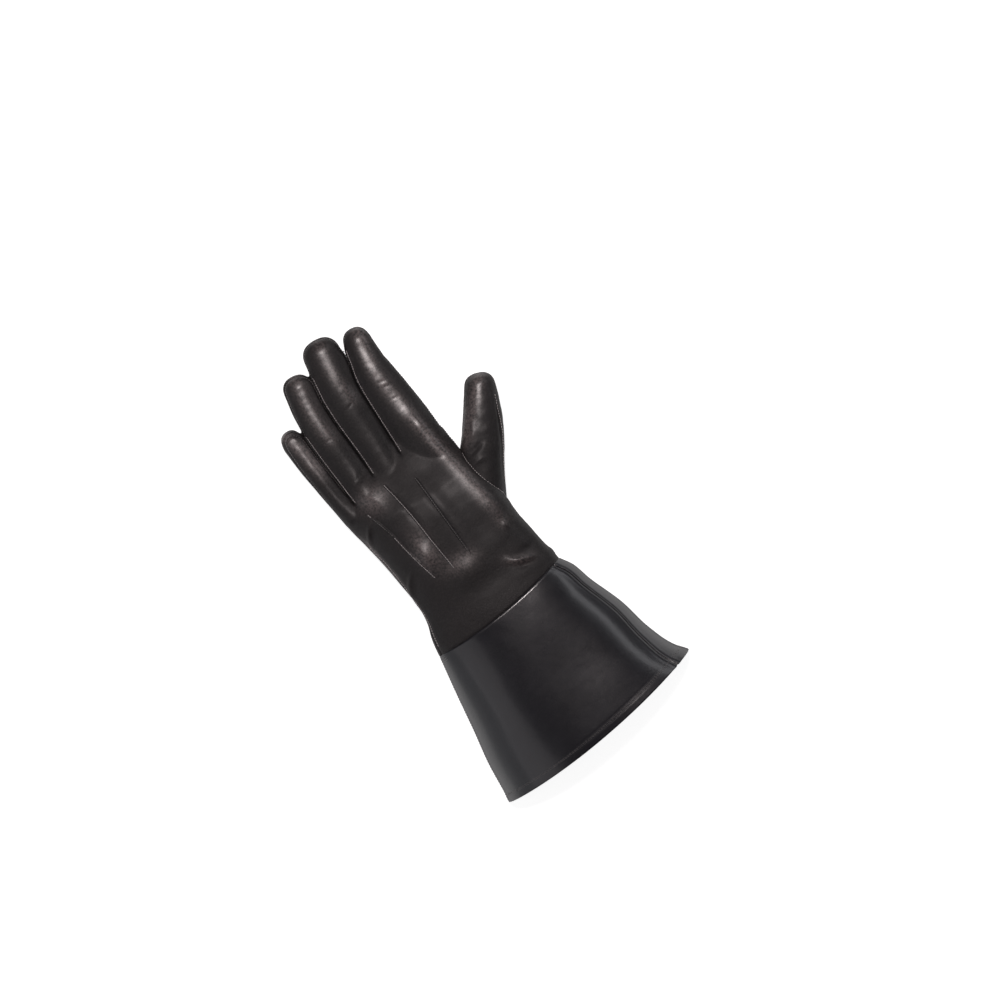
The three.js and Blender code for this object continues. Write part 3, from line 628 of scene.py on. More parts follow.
def closed_tube(rings: Array) -> Surface:
    """A run of rings, each an even number of points, closed at both ends and facing outwards."""
    sides = rings.shape[1]
    first = np.arange(sides // 2 - 1)
    cap = np.column_stack([first, first + 1, sides - 2 - first, sides - 1 - first])
    quads = np.vstack([tube_quads(len(rings), sides), cap[:, ::-1], cap + (len(rings) - 1) * sides])
    skin = Surface(rings.reshape(-1, 3), quads)
    a, b, c, d = (skin.points[quads[:, n]] for n in range(4))
    volume = (np.cross(c - a, d - b) * (a + b + c + d)).sum()
    return skin if volume > 0 else Surface(skin.points, quads[:, ::-1])


def joined(skins: Iterable[Surface]) -> Surface:
    """Several skins as one, without merging points."""
    points, quads, count = [], [], 0
    for skin in skins:
        points.append(skin.points)
        quads.append(skin.quads + count)
        count += len(skin.points)
    return Surface(np.vstack(points), np.vstack(quads))


@dataclass(frozen=True)
class Fold:
    """A soft fold or crease in the leather, on plan: its route, half width and rise in millimetres."""

    route: tuple[tuple[float, float], ...]
    width: float
    rise: float

    def lift(self, points: Array) -> Array:
        """Rise of the leather at points, fading out at the ends of the route."""
        route = np.array(self.route, dtype=float)
        steps = np.diff(route, axis=0)
        lengths = np.linalg.norm(steps, axis=1)
        starts = np.concatenate([[0], np.cumsum(lengths)])
        best = np.full(len(points), 1e9)
        share = np.zeros(len(points))
        for start, step, length, before in zip(route, steps, lengths, starts):
            t = np.clip(((points[:, :2] - start) @ step) / length**2, 0, 1)
            gap = np.linalg.norm(points[:, :2] - start - t[:, None] * step, axis=1)
            closer = gap < best
            best = np.where(closer, gap, best)
            share = np.where(closer, (before + t * length) / starts[-1], share)
        fade = ease(np.minimum(share, 1 - share) * starts[-1], 0, min(starts[-1] / 2, 20.0))
        return self.rise * fade * np.exp(-((best / self.width) ** 2))


@dataclass(frozen=True)
class Swell:
    """A broad soft rise or dent, on plan: middle, radii and rise in millimetres."""

    middle: tuple[float, float]
    radii: tuple[float, float]
    rise: float

    def lift(self, points: Array) -> Array:
        """Rise of the leather at points."""
        size = (points[:, :2] - self.middle) / self.radii
        return self.rise * np.exp(-(size**2).sum(axis=1))


BACK_RELIEF = (
    Fold(((3, 38), (12, 30), (20, 27), (33, 26)), 2.6, 1.6),
    Fold(((5, 32), (15, 24.5), (29, 21)), 2.4, -0.9),
    Fold(((18, 35), (27, 33), (34, 38)), 2.4, -0.6),
    Fold(((22, 62), (20.5, 56), (21, 50)), 2.2, 0.9),
    Fold(((-73, 92), (-68, 103), (-60, 114)), 1.5, 1.0),
    Fold(((-71, 89), (-66, 99), (-58, 110)), 2.4, -0.4),
    Fold(((-67, 42), (-62, 56), (-53, 67)), 1.6, 1.1),
    Fold(((-65, 40), (-59, 52), (-50, 62)), 2.6, -0.4),
    Fold(((-64, 134), (-52, 124), (-44, 108)), 4.0, 0.6),
    Fold(((-44, 148), (-52, 141), (-60, 138)), 2.4, -0.7),
    Fold(((-32, 150), (-12, 146), (6, 147)), 5.0, -0.15),
    Fold(((-6, 194), (0, 193), (6, 191)), 0.9, -0.16),
    Fold(((-5, 190), (0, 188.5), (7, 187)), 0.9, -0.13),
    Fold(((-3, 179), (2, 177.5), (8, 176)), 0.9, -0.18),
    Fold(((-37, 188), (-30, 190), (-22, 193)), 1.0, -0.17),
    Fold(((-64, 175), (-57, 177), (-50, 177)), 1.0, -0.13),
    Swell((-53, 130), (11, 10), 1.8),
    Swell((-42, 67), (7, 9), 1.6),
    Swell((-20, 42), (11, 9), 1.2),
    Swell((-24, 72), (12, 24), -1.3),
    Fold(((4, 170), (9, 132), (18, 104), (24, 80), (27, 50)), 8.0, 2.3),
    Fold(((-12, 136), (-5, 102), (1, 78), (6, 46)), 9.0, -1.2),
)

# Where the leather of the hand is burnished by wear to more gloss and lightened with a painted highlight:
# finger crests, the knuckles' outer side, the wrist
BURNISH_AND_PAINTED_HIGHLIGHT = (
    Fold(((8, 252), (1, 218), (-1, 203), (0, 188), (3, 168), (6, 148), (9, 133), (14, 104), (20, 62)),
         4.5, 1.0),
    Fold(((-22, 256), (-27.5, 224), (-28, 213), (-26, 202), (-24, 182)), 4.5, 0.72),
    Fold(((-52, 244), (-55.4, 211), (-57, 195), (-53, 165)), 5.0, 0.75),
    Fold(((-88, 212), (-77, 180), (-75.7, 169), (-72, 148)), 4.5, 0.9),
    Fold(((20, 112), (32, 128), (48, 144), (72, 168)), 5.0, 0.9),
    Fold(((0, 40), (12, 30), (20, 27), (34, 26)), 3.5, 0.7),
    Fold(((-74.6, 110), (-72.6, 89), (-70.6, 73), (-66.5, 52)), 2.5, 0.8),
    Swell((-52, 123), (10, 9), 1.0),
    Swell((-38.5, 71), (7, 15), 1.0),
    Swell((-20, 50), (12, 7), 0.8),
    Swell((20, 61), (5, 6), 0.6),
)

THUMB_ROUTE = ((35, 82), (43, 95), (50, 107), (59.5, 128), (66.5, 145))

THUMB_SEAM = Fold(THUMB_ROUTE, 0.8, -0.9)

THUMB_RELIEF = (
    Fold(((24, 116), (34, 124), (44, 140)), 2.4, 0.7),
    Fold(((20, 112), (30, 114), (42, 118)), 2.2, -0.9),
    Fold(((18, 104), (30, 106), (40, 104)), 2.0, 0.5),
)

PALM_RELIEF = (
    Fold(((-62, 15), (-30, 12), (10, 15), (34, 20)), 4.5, 1.4),
    Fold(((-64, 7), (-30, 4.5), (10, 8)), 3.0, -1.2),
    Fold(((-40, 60), (-45, 80), (-52, 96)), 2.2, -0.9),
    Fold(((-10, 58), (-6, 80), (-14, 104)), 2.6, -1.1),
    Fold(((-72, 140), (-40, 148), (-8, 152), (16, 146)), 2.4, -0.8),
    Fold(((-66, 150), (-40, 160), (-10, 163)), 1.8, -0.5),
    Fold(((-30, 56), (-28, 66)), 1.8, -0.9),
    Fold(((-50, 54), (-52, 64)), 1.8, -0.9),
    Fold(((8, 54), (10, 66)), 1.8, -0.9),
)


def crumple(points: Array, stretch: Sequence[float], seed: float) -> Array:
    """Smooth noise between about -1 and 1, stretched along the axes by their wavelengths in millimetres."""
    scaled = points / np.array(stretch) + seed
    return np.array([noise.noise(Vector(point)) for point in scaled])


class Parting:
    """Where the hand's leather panels part."""

    LITTLE_SIDE = 0.66
    LITTLE_ROOT = 0.46
    THUMB_SIDE = 0.42
    TIP = 13.0
    LAP = 1.5

    def __init__(self, sleeve: Sleeve, sizes: GloveSizes) -> None:
        """Lays the parting surface through the sleeve's sections."""
        rows = sleeve.rows[len(CUFF_ROWS):]
        seam, inner, end = rows[0], rows[1:-1], rows[-1]
        self.y = np.array([-30, *inner[:, 0], end[0] + 20, 300])
        self.left = np.array([seam[3], *inner[:, 3], end[3], end[3]])
        self.right = np.array([seam[4], *inner[:, 4], end[4], end[4]])
        share = self.LITTLE_SIDE + (self.LITTLE_ROOT - self.LITTLE_SIDE) * inner[:, 0] / sizes.hand_length
        self.low = np.array([seam[6] * 0.62, *(inner[:, 6] * share), self.TIP, self.TIP * 0.92])
        self.high = np.array([seam[6] * self.THUMB_SIDE, *(inner[:, 6] * self.THUMB_SIDE), self.TIP * 0.75,
                              self.TIP * 0.75])
        self.sleeve = sleeve

    def above(self, points: Array) -> Array:
        """Height of points over the parting surface."""
        x, y, z = points.T
        left, right = np.interp(y, self.y, self.left), np.interp(y, self.y, self.right)
        low, high = np.interp(y, self.y, self.low), np.interp(y, self.y, self.high)
        return z - (low + (high - low) * (x - left) / (right - left))

    def wedge(self, number: int, points: Array) -> Array:
        """How far points lie inside the wedge between two fingers, in millimetres."""
        first, second, crotch = FINGERS[number], FINGERS[number + 1], CROTCHES[number]
        reach = cleft_reach(number) - 1
        places = np.array([crotch - 13, crotch + 8, crotch + (reach - crotch) * 0.6, reach])
        thick = min(first.thick, second.thick)
        x, y, z = points.T
        start, end = first.middle(y), second.middle(y)
        low = np.interp(y, places, np.array([0.28, 0.28, 0.30, 0.42]) * thick)
        near = np.interp(y, places, np.array([0.70, 0.58, 0.52, 0.50]) * thick)
        far = np.interp(y, places, np.array([0.72, 0.62, 0.56, 0.52]) * thick)
        high = near + (far - near) * np.clip((x - start) / (end - start), 0, 1)
        return np.min([x - start, end - x, z - low, high - z, y - places[0], places[-1] - y], axis=0)

    def between_fingers(self, points: Array) -> Array:
        """How far points lie inside any of the wedges."""
        return np.max([self.wedge(number, points) for number in range(len(CROTCHES))], axis=0)

    def past_seam(self, points: Array) -> Array:
        """Distance beyond the wrist seam."""
        return points[:, 1] - self.sleeve.seam_line(points[:, 0])


@dataclass
class Thread:
    """Stitches of one seam group, copied from one small bead of thread."""

    name: str
    length: float = 1.55
    radius: float = 0.32
    beads: list[Surface] = field(default_factory=list)

    SIDES = 6
    RINGS = ((-0.5, 0.25), (-0.32, 0.85), (0.0, 1.0), (0.32, 0.85), (0.5, 0.25))

    def template(self) -> Array:
        """Rings of one stitch along its own x axis."""
        angle = 2 * np.pi * np.arange(self.SIDES) / self.SIDES
        turn = np.column_stack([np.cos(angle), np.sin(angle)])
        rings = [np.column_stack([np.full(self.SIDES, place * self.length), self.radius * wide * turn])
                 for place, wide in self.RINGS]
        return np.stack(rings)

    def run(self, path: Array, ups: Array, pitch: float, lift: float = 0.05, end: float = 0.0) -> None:
        """Lays stitches along a path on a skin.

        Args:
            path: Points of the path.
            ups: Outward direction at each point.
            pitch: Distance between stitches.
            lift: Height of the stitches' middle over the path.
            end: Length left bare at each end.
        """
        along = distances(path)
        count = int((along[-1] - 2 * end) / pitch)
        if count < 2:
            return
        places = end + (np.arange(count) + 0.5) * pitch
        spots, ahead, behind, up = (
            np.column_stack([np.interp(at, along, rows[:, n]) for n in range(3)])
            for at, rows in ((places, path), (places + 0.5, path), (places - 0.5, path), (places, ups))
        )
        way = unit(ahead - behind)
        up = unit(up - way * (up * way).sum(axis=1, keepdims=True))
        spots[:, 2] = np.maximum(spots[:, 2], self.radius)
        side = np.cross(up, way)
        bead = closed_tube(self.template())
        for spot, a, b, c in zip(spots, way, side, up):
            turned = bead.points @ np.stack([a, b, c])
            self.beads.append(Surface(turned + spot + c * lift, bead.quads))

    def skin(self) -> Surface:
        """All the stitches as one skin."""
        return joined(self.beads)


def inside_line(skin: Surface, run: Array, inset: float) -> tuple[Array, Array]:
    """A line on a skin that follows part of its open edge.

    Args:
        skin: Skin with the open edge.
        run: Numbers of the edge points, in order, with the skin on their left.
        inset: Distance from the edge.

    Returns:
        The line's points and the outward directions there.
    """
    ups = skin.normals()[run]
    path = skin.points[run].copy()
    for _ in range(4):
        path[1:-1] = (path[:-2] + 2 * path[1:-1] + path[2:]) / 4
    way = np.gradient(path, axis=0)
    way /= np.maximum(np.linalg.norm(way, axis=1, keepdims=True), 1e-9)
    inward = np.cross(ups, way)
    return laid_on(skin, path + inward * inset)


class Hand:
    """The hand of the glove: back and palm panels, finger side strips, thumb, pintucks and stitches."""

    # Name of the map of burnished gloss and painted highlight that the hand's leather carries at its points
    WEAR_AND_PAINTED_HIGHLIGHT = "burnish_and_painted_highlight"
    VOXEL = 0.9
    THUMB_LAP = 0.9
    THUMB_DEPTH = 2.0
    STRIP_LAP = 1.2
    TUCK_WIDTH = 4.0
    TUCK_RISE = 0.75
    TUCKS = (
        ((-43, 50), (-47, 65), (-50, 77.5), (-53, 92.5), (-61, 117)),
        ((-27.5, 49), (-31, 76), (-33, 95), (-36, 113), (-39.5, 129)),
        ((-12, 51), (-13.5, 73), (-15, 95), (-16, 109), (-17, 121)),
    )

    def __init__(self, workshop: Workshop, sleeve: Sleeve, sizes: GloveSizes) -> None:
        """Keeps the shared forms and the parting of the panels."""
        self.workshop = workshop
        self.sleeve = sleeve
        self.sizes = sizes
        self.parting = Parting(sleeve, sizes)
        # The first thread takes the finish with the painted highlight; the second takes the plain dark
        # finish, for stitches in shade
        self.thread = Thread("hand_stitching")
        self.shaded_thread = Thread("hand_shaded_stitching", 1.4, 0.25)

    def outer_skin(self) -> Surface:
        """One smooth outer skin of palm and fingers, remeshed from its lofts."""
        angles = np.linspace(0, 2 * np.pi, 140, endpoint=False)
        along = np.linspace(-14, self.sleeve.stations[-1], 110)
        forms = [closed_tube(self.sleeve.rings(along, angles))]
        forms += [closed_tube(digit.rings(self.sizes)) for digit in FINGERS]
        skin = self.workshop.remeshed("hand_form", joined(forms), self.VOXEL)
        skin.smooth(10, 0.6)
        self.shape(skin)
        return skin

    def floor(self, points: Array) -> Array:
        """Lowest height that the leather may reach at points: the ground, or the top of the strap."""
        x, y, _ = points.T
        s = self.sizes
        over = ease(x, -70, -62) * (1 - ease(x, 22, 30)) * (1 - ease(np.abs(y - s.strap_y), 12, 19))
        return GROUND + over * (s.wrist_raise - 0.1)

    def shape(self, skin: Surface) -> None:
        """Works folds, dents and crumples into the skin, and flattens it where it rests."""
        normals = skin.normals()
        points = skin.points
        back = ease(normals[:, 2], 0.0, 0.5)
        palm = ease(-normals[:, 2], 0.0, 0.5)
        lift = back * sum(form.lift(points) for form in BACK_RELIEF)
        lift += palm * sum(form.lift(points) for form in PALM_RELIEF)
        finger = ease(points[:, 1], 128, 150)
        lift += back * sum(Fold(route, 2.6, -0.4).lift(points) for route in self.TUCKS)
        wrist = 1 - ease(np.abs(points[:, 1] - 28), 8, 34)
        lift += 0.45 * crumple(points, (26, 34, 20), 3.1)
        lift += 0.10 * crumple(points, (12, 9, 9), 11.7)
        lift += (0.03 + 0.02 * finger) * crumple(points, (7, 3.6, 5), 27.3)
        lift += 0.18 * wrist * crumple(points, (22, 10, 12), 41.9)
        lift += 0.5 * wrist * palm * crumple(points, (5.5, 22, 9), 55.3)
        skin.points += normals * lift[:, None]
        self.close_clefts(skin.points)
        skin.points[:, 2] = np.maximum(skin.points[:, 2], self.floor(skin.points))

    def close_clefts(self, points: Array) -> None:
        """Draws neighbouring fingers together on their upper side, until they nearly touch."""
        for number, crotch in enumerate(CROTCHES):
            reach = cleft_reach(number)
            x, y, z = points.T
            offset = x - self.cleft(number, y)
            mask = ease(y, crotch - 13, crotch - 4) * (1 - ease(y, reach - 2, reach + 7)) * ease(z, 3, 8)
            near = (1 - ease(np.abs(offset), 1.2, 5.5)) * mask
            points[:, 0] -= offset * near * 0.82
            points[:, 2] -= 1.6 * mask * np.exp(-((offset / 1.6) ** 2))
            beside = points[:, 0] - self.cleft(number, y) - 1.3
            points[:, 2] += 0.5 * mask * np.exp(-((beside / 0.6) ** 2))

    def cleft(self, number: int, y: Array) -> Array:
        """Sideways place of the cleft between two neighbouring fingers at y."""
        first, second = FINGERS[number], FINGERS[number + 1]
        return (first.middle(y) + first.half(y) + second.middle(y) - second.half(y)) / 2

    def seam_roll(self, skin: Surface, pucker: float) -> None:
        """Rolls a panel's edge down to its seam and draws the leather in at the stitches."""
        distance = skin.edge_distance()
        normals = skin.normals()
        at_wrist = 1 - ease(self.parting.past_seam(skin.points), 1, 4)
        roll = (-0.42 - 0.1 * at_wrist) * (1 - ease(distance, 0.0, 1.4))
        inner = ease(self.parting.past_seam(skin.points), 4, 10)
        swell = 0.26 * inner * np.exp(-(((distance - 3.4) / 1.7) ** 2))
        ripple = pucker * np.exp(-(((distance - 1.8) / 1.4) ** 2))
        ripple *= crumple(skin.points, (2.6, 2.6, 2.6), 71.0)
        skin.points += normals * (roll + swell + ripple)[:, None]
        skin.points[:, 2] = np.maximum(skin.points[:, 2], self.floor(skin.points))

    def panel(self, skin: Surface, side: Field) -> Surface:
        """One side of the hand's skin, without the finger side strips and the thumb's hole."""
        return skin.cut(lambda points: np.min([
            side(points), -self.parting.between_fingers(points), self.parting.past_seam(points),
            self.THUMB_LAP - THUMB.depth(points, self.sizes),
        ], axis=0))

    def back(self, skin: Surface) -> Surface:
        """The back panel."""
        panel = self.panel(skin, self.parting.above)
        panel.points += panel.normals() * 0.25
        self.seam_roll(panel, 0.16)
        return panel

    def palm(self, skin: Surface) -> Surface:
        """The palm panel, whose edge goes under the back panel's."""
        panel = self.panel(skin, lambda points: Parting.LAP - self.parting.above(points))
        under = ease(self.parting.above(panel.points), -1.6, -0.2)
        panel.points -= panel.normals() * (under * (self.sizes.hand_wall + 0.1))[:, None]
        return panel

    def side_strip(self, skin: Surface, number: int) -> Surface:
        """A strip between two fingers, whose edges go under the panels'."""
        strip = skin.cut(lambda points: self.parting.wedge(number, points) + self.STRIP_LAP)
        under = 1 - ease(self.parting.wedge(number, strip.points), 0.1, 1.2)
        strip.points -= strip.normals() * (0.15 + under * self.sizes.hand_wall)[:, None]
        return strip

    def thumb(self) -> Surface:
        """The thumb's tube, cut off just inside the hand."""
        tube = self.workshop.remeshed("thumb_form", closed_tube(THUMB.rings(self.sizes, 96)), self.VOXEL)
        tube.smooth(8, 0.6)
        tube.points[:, 2] = np.maximum(tube.points[:, 2], GROUND)
        tube = tube.cut(lambda points: self.THUMB_DEPTH - self.hand_depth(points))
        normals = tube.normals()
        top = ease(normals[:, 2], 0.0, 0.5)
        lift = top * sum(form.lift(tube.points) for form in THUMB_RELIEF)
        lift += THUMB_SEAM.lift(tube.points)
        lift += 0.30 * crumple(tube.points, (12, 8, 9), 5.2) + 0.12 * crumple(tube.points, (5, 4, 5), 17.2)
        tube.points += normals * lift[:, None]
        tube.points[:, 2] = np.maximum(tube.points[:, 2], GROUND)
        return tube

    def sew_thumb(self, tube: Surface) -> None:
        """Lays stitches beside the seam on the outer side of the thumb."""
        stops = np.array(THUMB_ROUTE, dtype=float)
        lengths = distances(stops)
        route = blend_rows(lengths, stops, np.linspace(0, lengths[-1], 80))
        top = THUMB.depth(np.column_stack([route, np.full(80, 12.0)]), self.sizes)
        guess = np.column_stack([route, 12.0 + np.maximum(top, 0)])
        path, ups = laid_on(tube, guess)
        inward = np.cross(ups, unit(np.gradient(path, axis=0)))
        path, ups = laid_on(tube, path + inward * 1.5)
        self.thread.run(path, ups, 2.0, 0.04, 3)

    def hand_depth(self, points: Array) -> Array:
        """How far points lie inside the palm's sections, about in millimetres."""
        x, y, z = points.T
        _, _, _, left, right, under, top, belly = self.sleeve.at(np.clip(y, 20, 120)).T
        half = (right - left) / 2
        u = (x - (left + right) / 2) / half
        up = z > belly
        level = (z - belly) / np.where(up, top - belly, belly - under)
        blunt = np.where(up, np.where(u < 0, Sleeve.TOP_LEFT, Sleeve.TOP_RIGHT), Sleeve.UNDER)
        size = (np.abs(u) ** blunt + np.abs(level) ** blunt) ** (1 / blunt)
        return (1 - size) * np.where(np.abs(u) > 0.7, half, (top - under) / 2) * 0.9

    def draped(self, panel: Surface, route: Array, count: int) -> tuple[Array, Array]:
        """Drops a route onto a panel from above.

        Args:
            panel: The panel's skin.
            route: Points x, y.
            count: How many near points of the skin each drop goes by.

        Returns:
            The points on the skin and the outward directions there.
        """
        normals = panel.normals()
        tree = search_tree(panel.points * (1, 1, 0))
        near = np.array([[index for _, index, _ in tree.find_n((x, y, 0), count)] for x, y in route])
        base, up = panel.points[near].mean(axis=1), normals[near].mean(axis=1)
        up = unit(up)
        spots = np.column_stack([route, base[:, 2]])
        spots[:, 2] -= ((spots - base) * up).sum(axis=1) / np.maximum(up[:, 2], 0.3)
        return spots, up

    def pintuck(self, number: int, panel: Surface) -> Surface:
        """One raised pintuck: a pinched ridge of leather between two grooves."""
        route = np.array(self.TUCKS[number], dtype=float)
        lengths = distances(route)
        along = np.linspace(0, lengths[-1], 160)
        middle = blend_rows(lengths, route, along)
        way = unit(np.gradient(middle, axis=0))
        side = np.column_stack([way[:, 1], -way[:, 0]])
        starts, ups = self.draped(panel, middle, 12)
        fade = np.clip(np.minimum(along, along[-1] - along) / 4, 0.0, 1) ** 0.7
        across = np.array([-1.0, -0.75, -0.6, -0.45, -0.3, -0.15, 0.0, 0.15, 0.3, 0.45, 0.6, 0.75, 1.0])
        rise = np.array([-0.55, -0.14, 0.04, 0.34, 0.70, 0.93, 1.0, 0.93, 0.70, 0.34, 0.04, -0.14, -0.55])
        wobble = 1 + 0.10 * np.sin(along * 2.1) + 0.08 * np.sin(along * 3.7 + 1)
        flat = np.column_stack([side, np.zeros(len(side))])
        flat = unit(flat - ups * (flat * ups).sum(axis=1, keepdims=True))
        height = self.TUCK_RISE * np.where(rise > 0, (fade * wobble)[:, None], 1) * rise
        height -= 0.25 * (1 - fade)[:, None]
        grid = starts[:, None] + flat[:, None] * (across * self.TUCK_WIDTH / 2)[None, :, None]
        grid = grid + ups[:, None] * height[:, :, None]
        crest = starts - flat * 0.3 + ups * (self.TUCK_RISE * 0.9 * fade)[:, None]
        # The right tuck and a middle stretch of the left tuck lie in shade and take the plain dark thread;
        # the rest take the thread with the painted highlight
        shaded = np.full(len(along), number == 2) | ((number == 0) & (np.abs(middle[:, 1] - 102) < 10))
        self.sew_line(crest, ups, ~shaded, 1.75, 0.05, 0.4)
        skin = Surface(grid.reshape(-1, 3), grid_quads(grid.shape[0], grid.shape[1]))
        if skin.normals()[:, 2].mean() < 0:
            skin.quads = skin.quads[:, ::-1]
        return skin

    def sew_line(self, line: Array, ups: Array, lit: Array, pitch: float, lift: float,
                 end: float = 0.0) -> None:
        """Lays stitches along a line, bright where it is lit and dull elsewhere.

        Args:
            line: Points of the line.
            ups: Outward direction at each point.
            lit: Where the thread with the painted highlight is used.
            pitch: Distance between stitches.
            lift: Height of the stitches' middle over the line.
            end: Length left bare at each end of a run.
        """
        for part in np.split(np.arange(len(line)), np.flatnonzero(np.diff(lit)) + 1):
            thread = self.thread if lit[part[0]] else self.shaded_thread
            thread.run(line[part], ups[part], pitch, lift, end)

    def sew(self, panel: Surface) -> None:
        """Lays stitches just inside the back panel's edge."""
        loops = panel.loops()[:4]
        line, ups = inside_line(panel, loops[0], 1.3)
        seen = self.parting.past_seam(line) > 4
        start = int(np.argmax(seen & ~np.roll(seen, 1)))
        line, ups = (np.roll(values, -start, axis=0)[:int(seen.sum())] for values in (line, ups))
        x, y, _ = line.T
        # Stretches of the seam in the light take the thread with the painted highlight, the rest the plain
        # dark thread
        lit = (x > 15) & (y > 50) & (y < 121) | (x < -50) & (y < 95)
        self.sew_line(line, ups, lit, 1.9, 0.08)
        # The clefts' stitches all take the thread with the painted highlight
        for number, crotch in enumerate(CROTCHES):
            y = np.linspace(crotch - 7, cleft_reach(number) + 2, 90)
            line, ups = self.draped(panel, np.column_stack([self.cleft(number, y) + 1.7, y]), 4)
            self.thread.run(line, ups, 1.75, 0.15)

    def dressed(self, name: str, skin: Surface, finish: bpy.types.Material,
                nodes: Sequence[str] = ()) -> None:
        """Makes a leather piece, with its map of burnished gloss and painted highlight at its points, and
        dresses it.
        """
        piece = self.workshop.mesh(name, skin)
        wear = np.clip(sum(form.lift(skin.points) for form in BURNISH_AND_PAINTED_HIGHLIGHT), 0, 1)
        # Faces that turn down get neither the gloss nor the painted highlight
        wear *= ease(skin.normals()[:, 2], -0.1, 0.4)
        piece.data.attributes.new(self.WEAR_AND_PAINTED_HIGHLIGHT, "FLOAT", "POINT").data.foreach_set("value", wear)
        self.workshop.place(piece, Slot.HAND, finish, nodes)

    def build(self, finishes: "Finishes") -> None:
        """Makes and dresses every piece of the hand."""
        wall = self.sizes.hand_wall
        skin = self.outer_skin()
        back = self.back(skin)
        shop = self.workshop
        tucks = [self.pintuck(number, back) for number in range(len(self.TUCKS))]
        self.sew(back)
        self.dressed("back_leather", back.wall(wall), finishes.hand, ["back_panel"])
        self.dressed("palm_leather", self.palm(skin).wall(wall), finishes.hand, ["palm_panel"])
        names = ("fourchette_ring_little", "fourchette_middle_ring", "fourchette_index_middle")
        for number, name in enumerate(names):
            strip = self.side_strip(skin, number).wall(wall * 0.8)
            self.dressed(name + "_leather", strip, finishes.hand, [name])
        thumb = self.thumb()
        self.sew_thumb(thumb)
        self.dressed("thumb_leather", thumb.wall(wall), finishes.hand, ["thumb"])
        for number, tuck in enumerate(tucks):
            self.dressed(f"pintuck_{number + 1}", tuck.wall(0.5), finishes.hand)
        for thread, finish in ((self.thread, finishes.thread), (self.shaded_thread, finishes.dull_thread)):
            shop.place(shop.mesh(thread.name, thread.skin()), Slot.HAND, finish)


def laid_on(skin: Surface, guess: Array) -> tuple[Array, Array]:
    """Drops points onto a skin.

    Args:
        skin: Skin to lie on.
        guess: Points near it.

    Returns:
        The points on the skin and the outward directions there.
    """
    tree = search_tree(skin.points)
    nearest = np.array([tree.find(point)[1] for point in guess])
    up = skin.normals()[nearest]
    drop = ((guess - skin.points[nearest]) * up).sum(axis=1, keepdims=True)
    return guess - up * drop, up


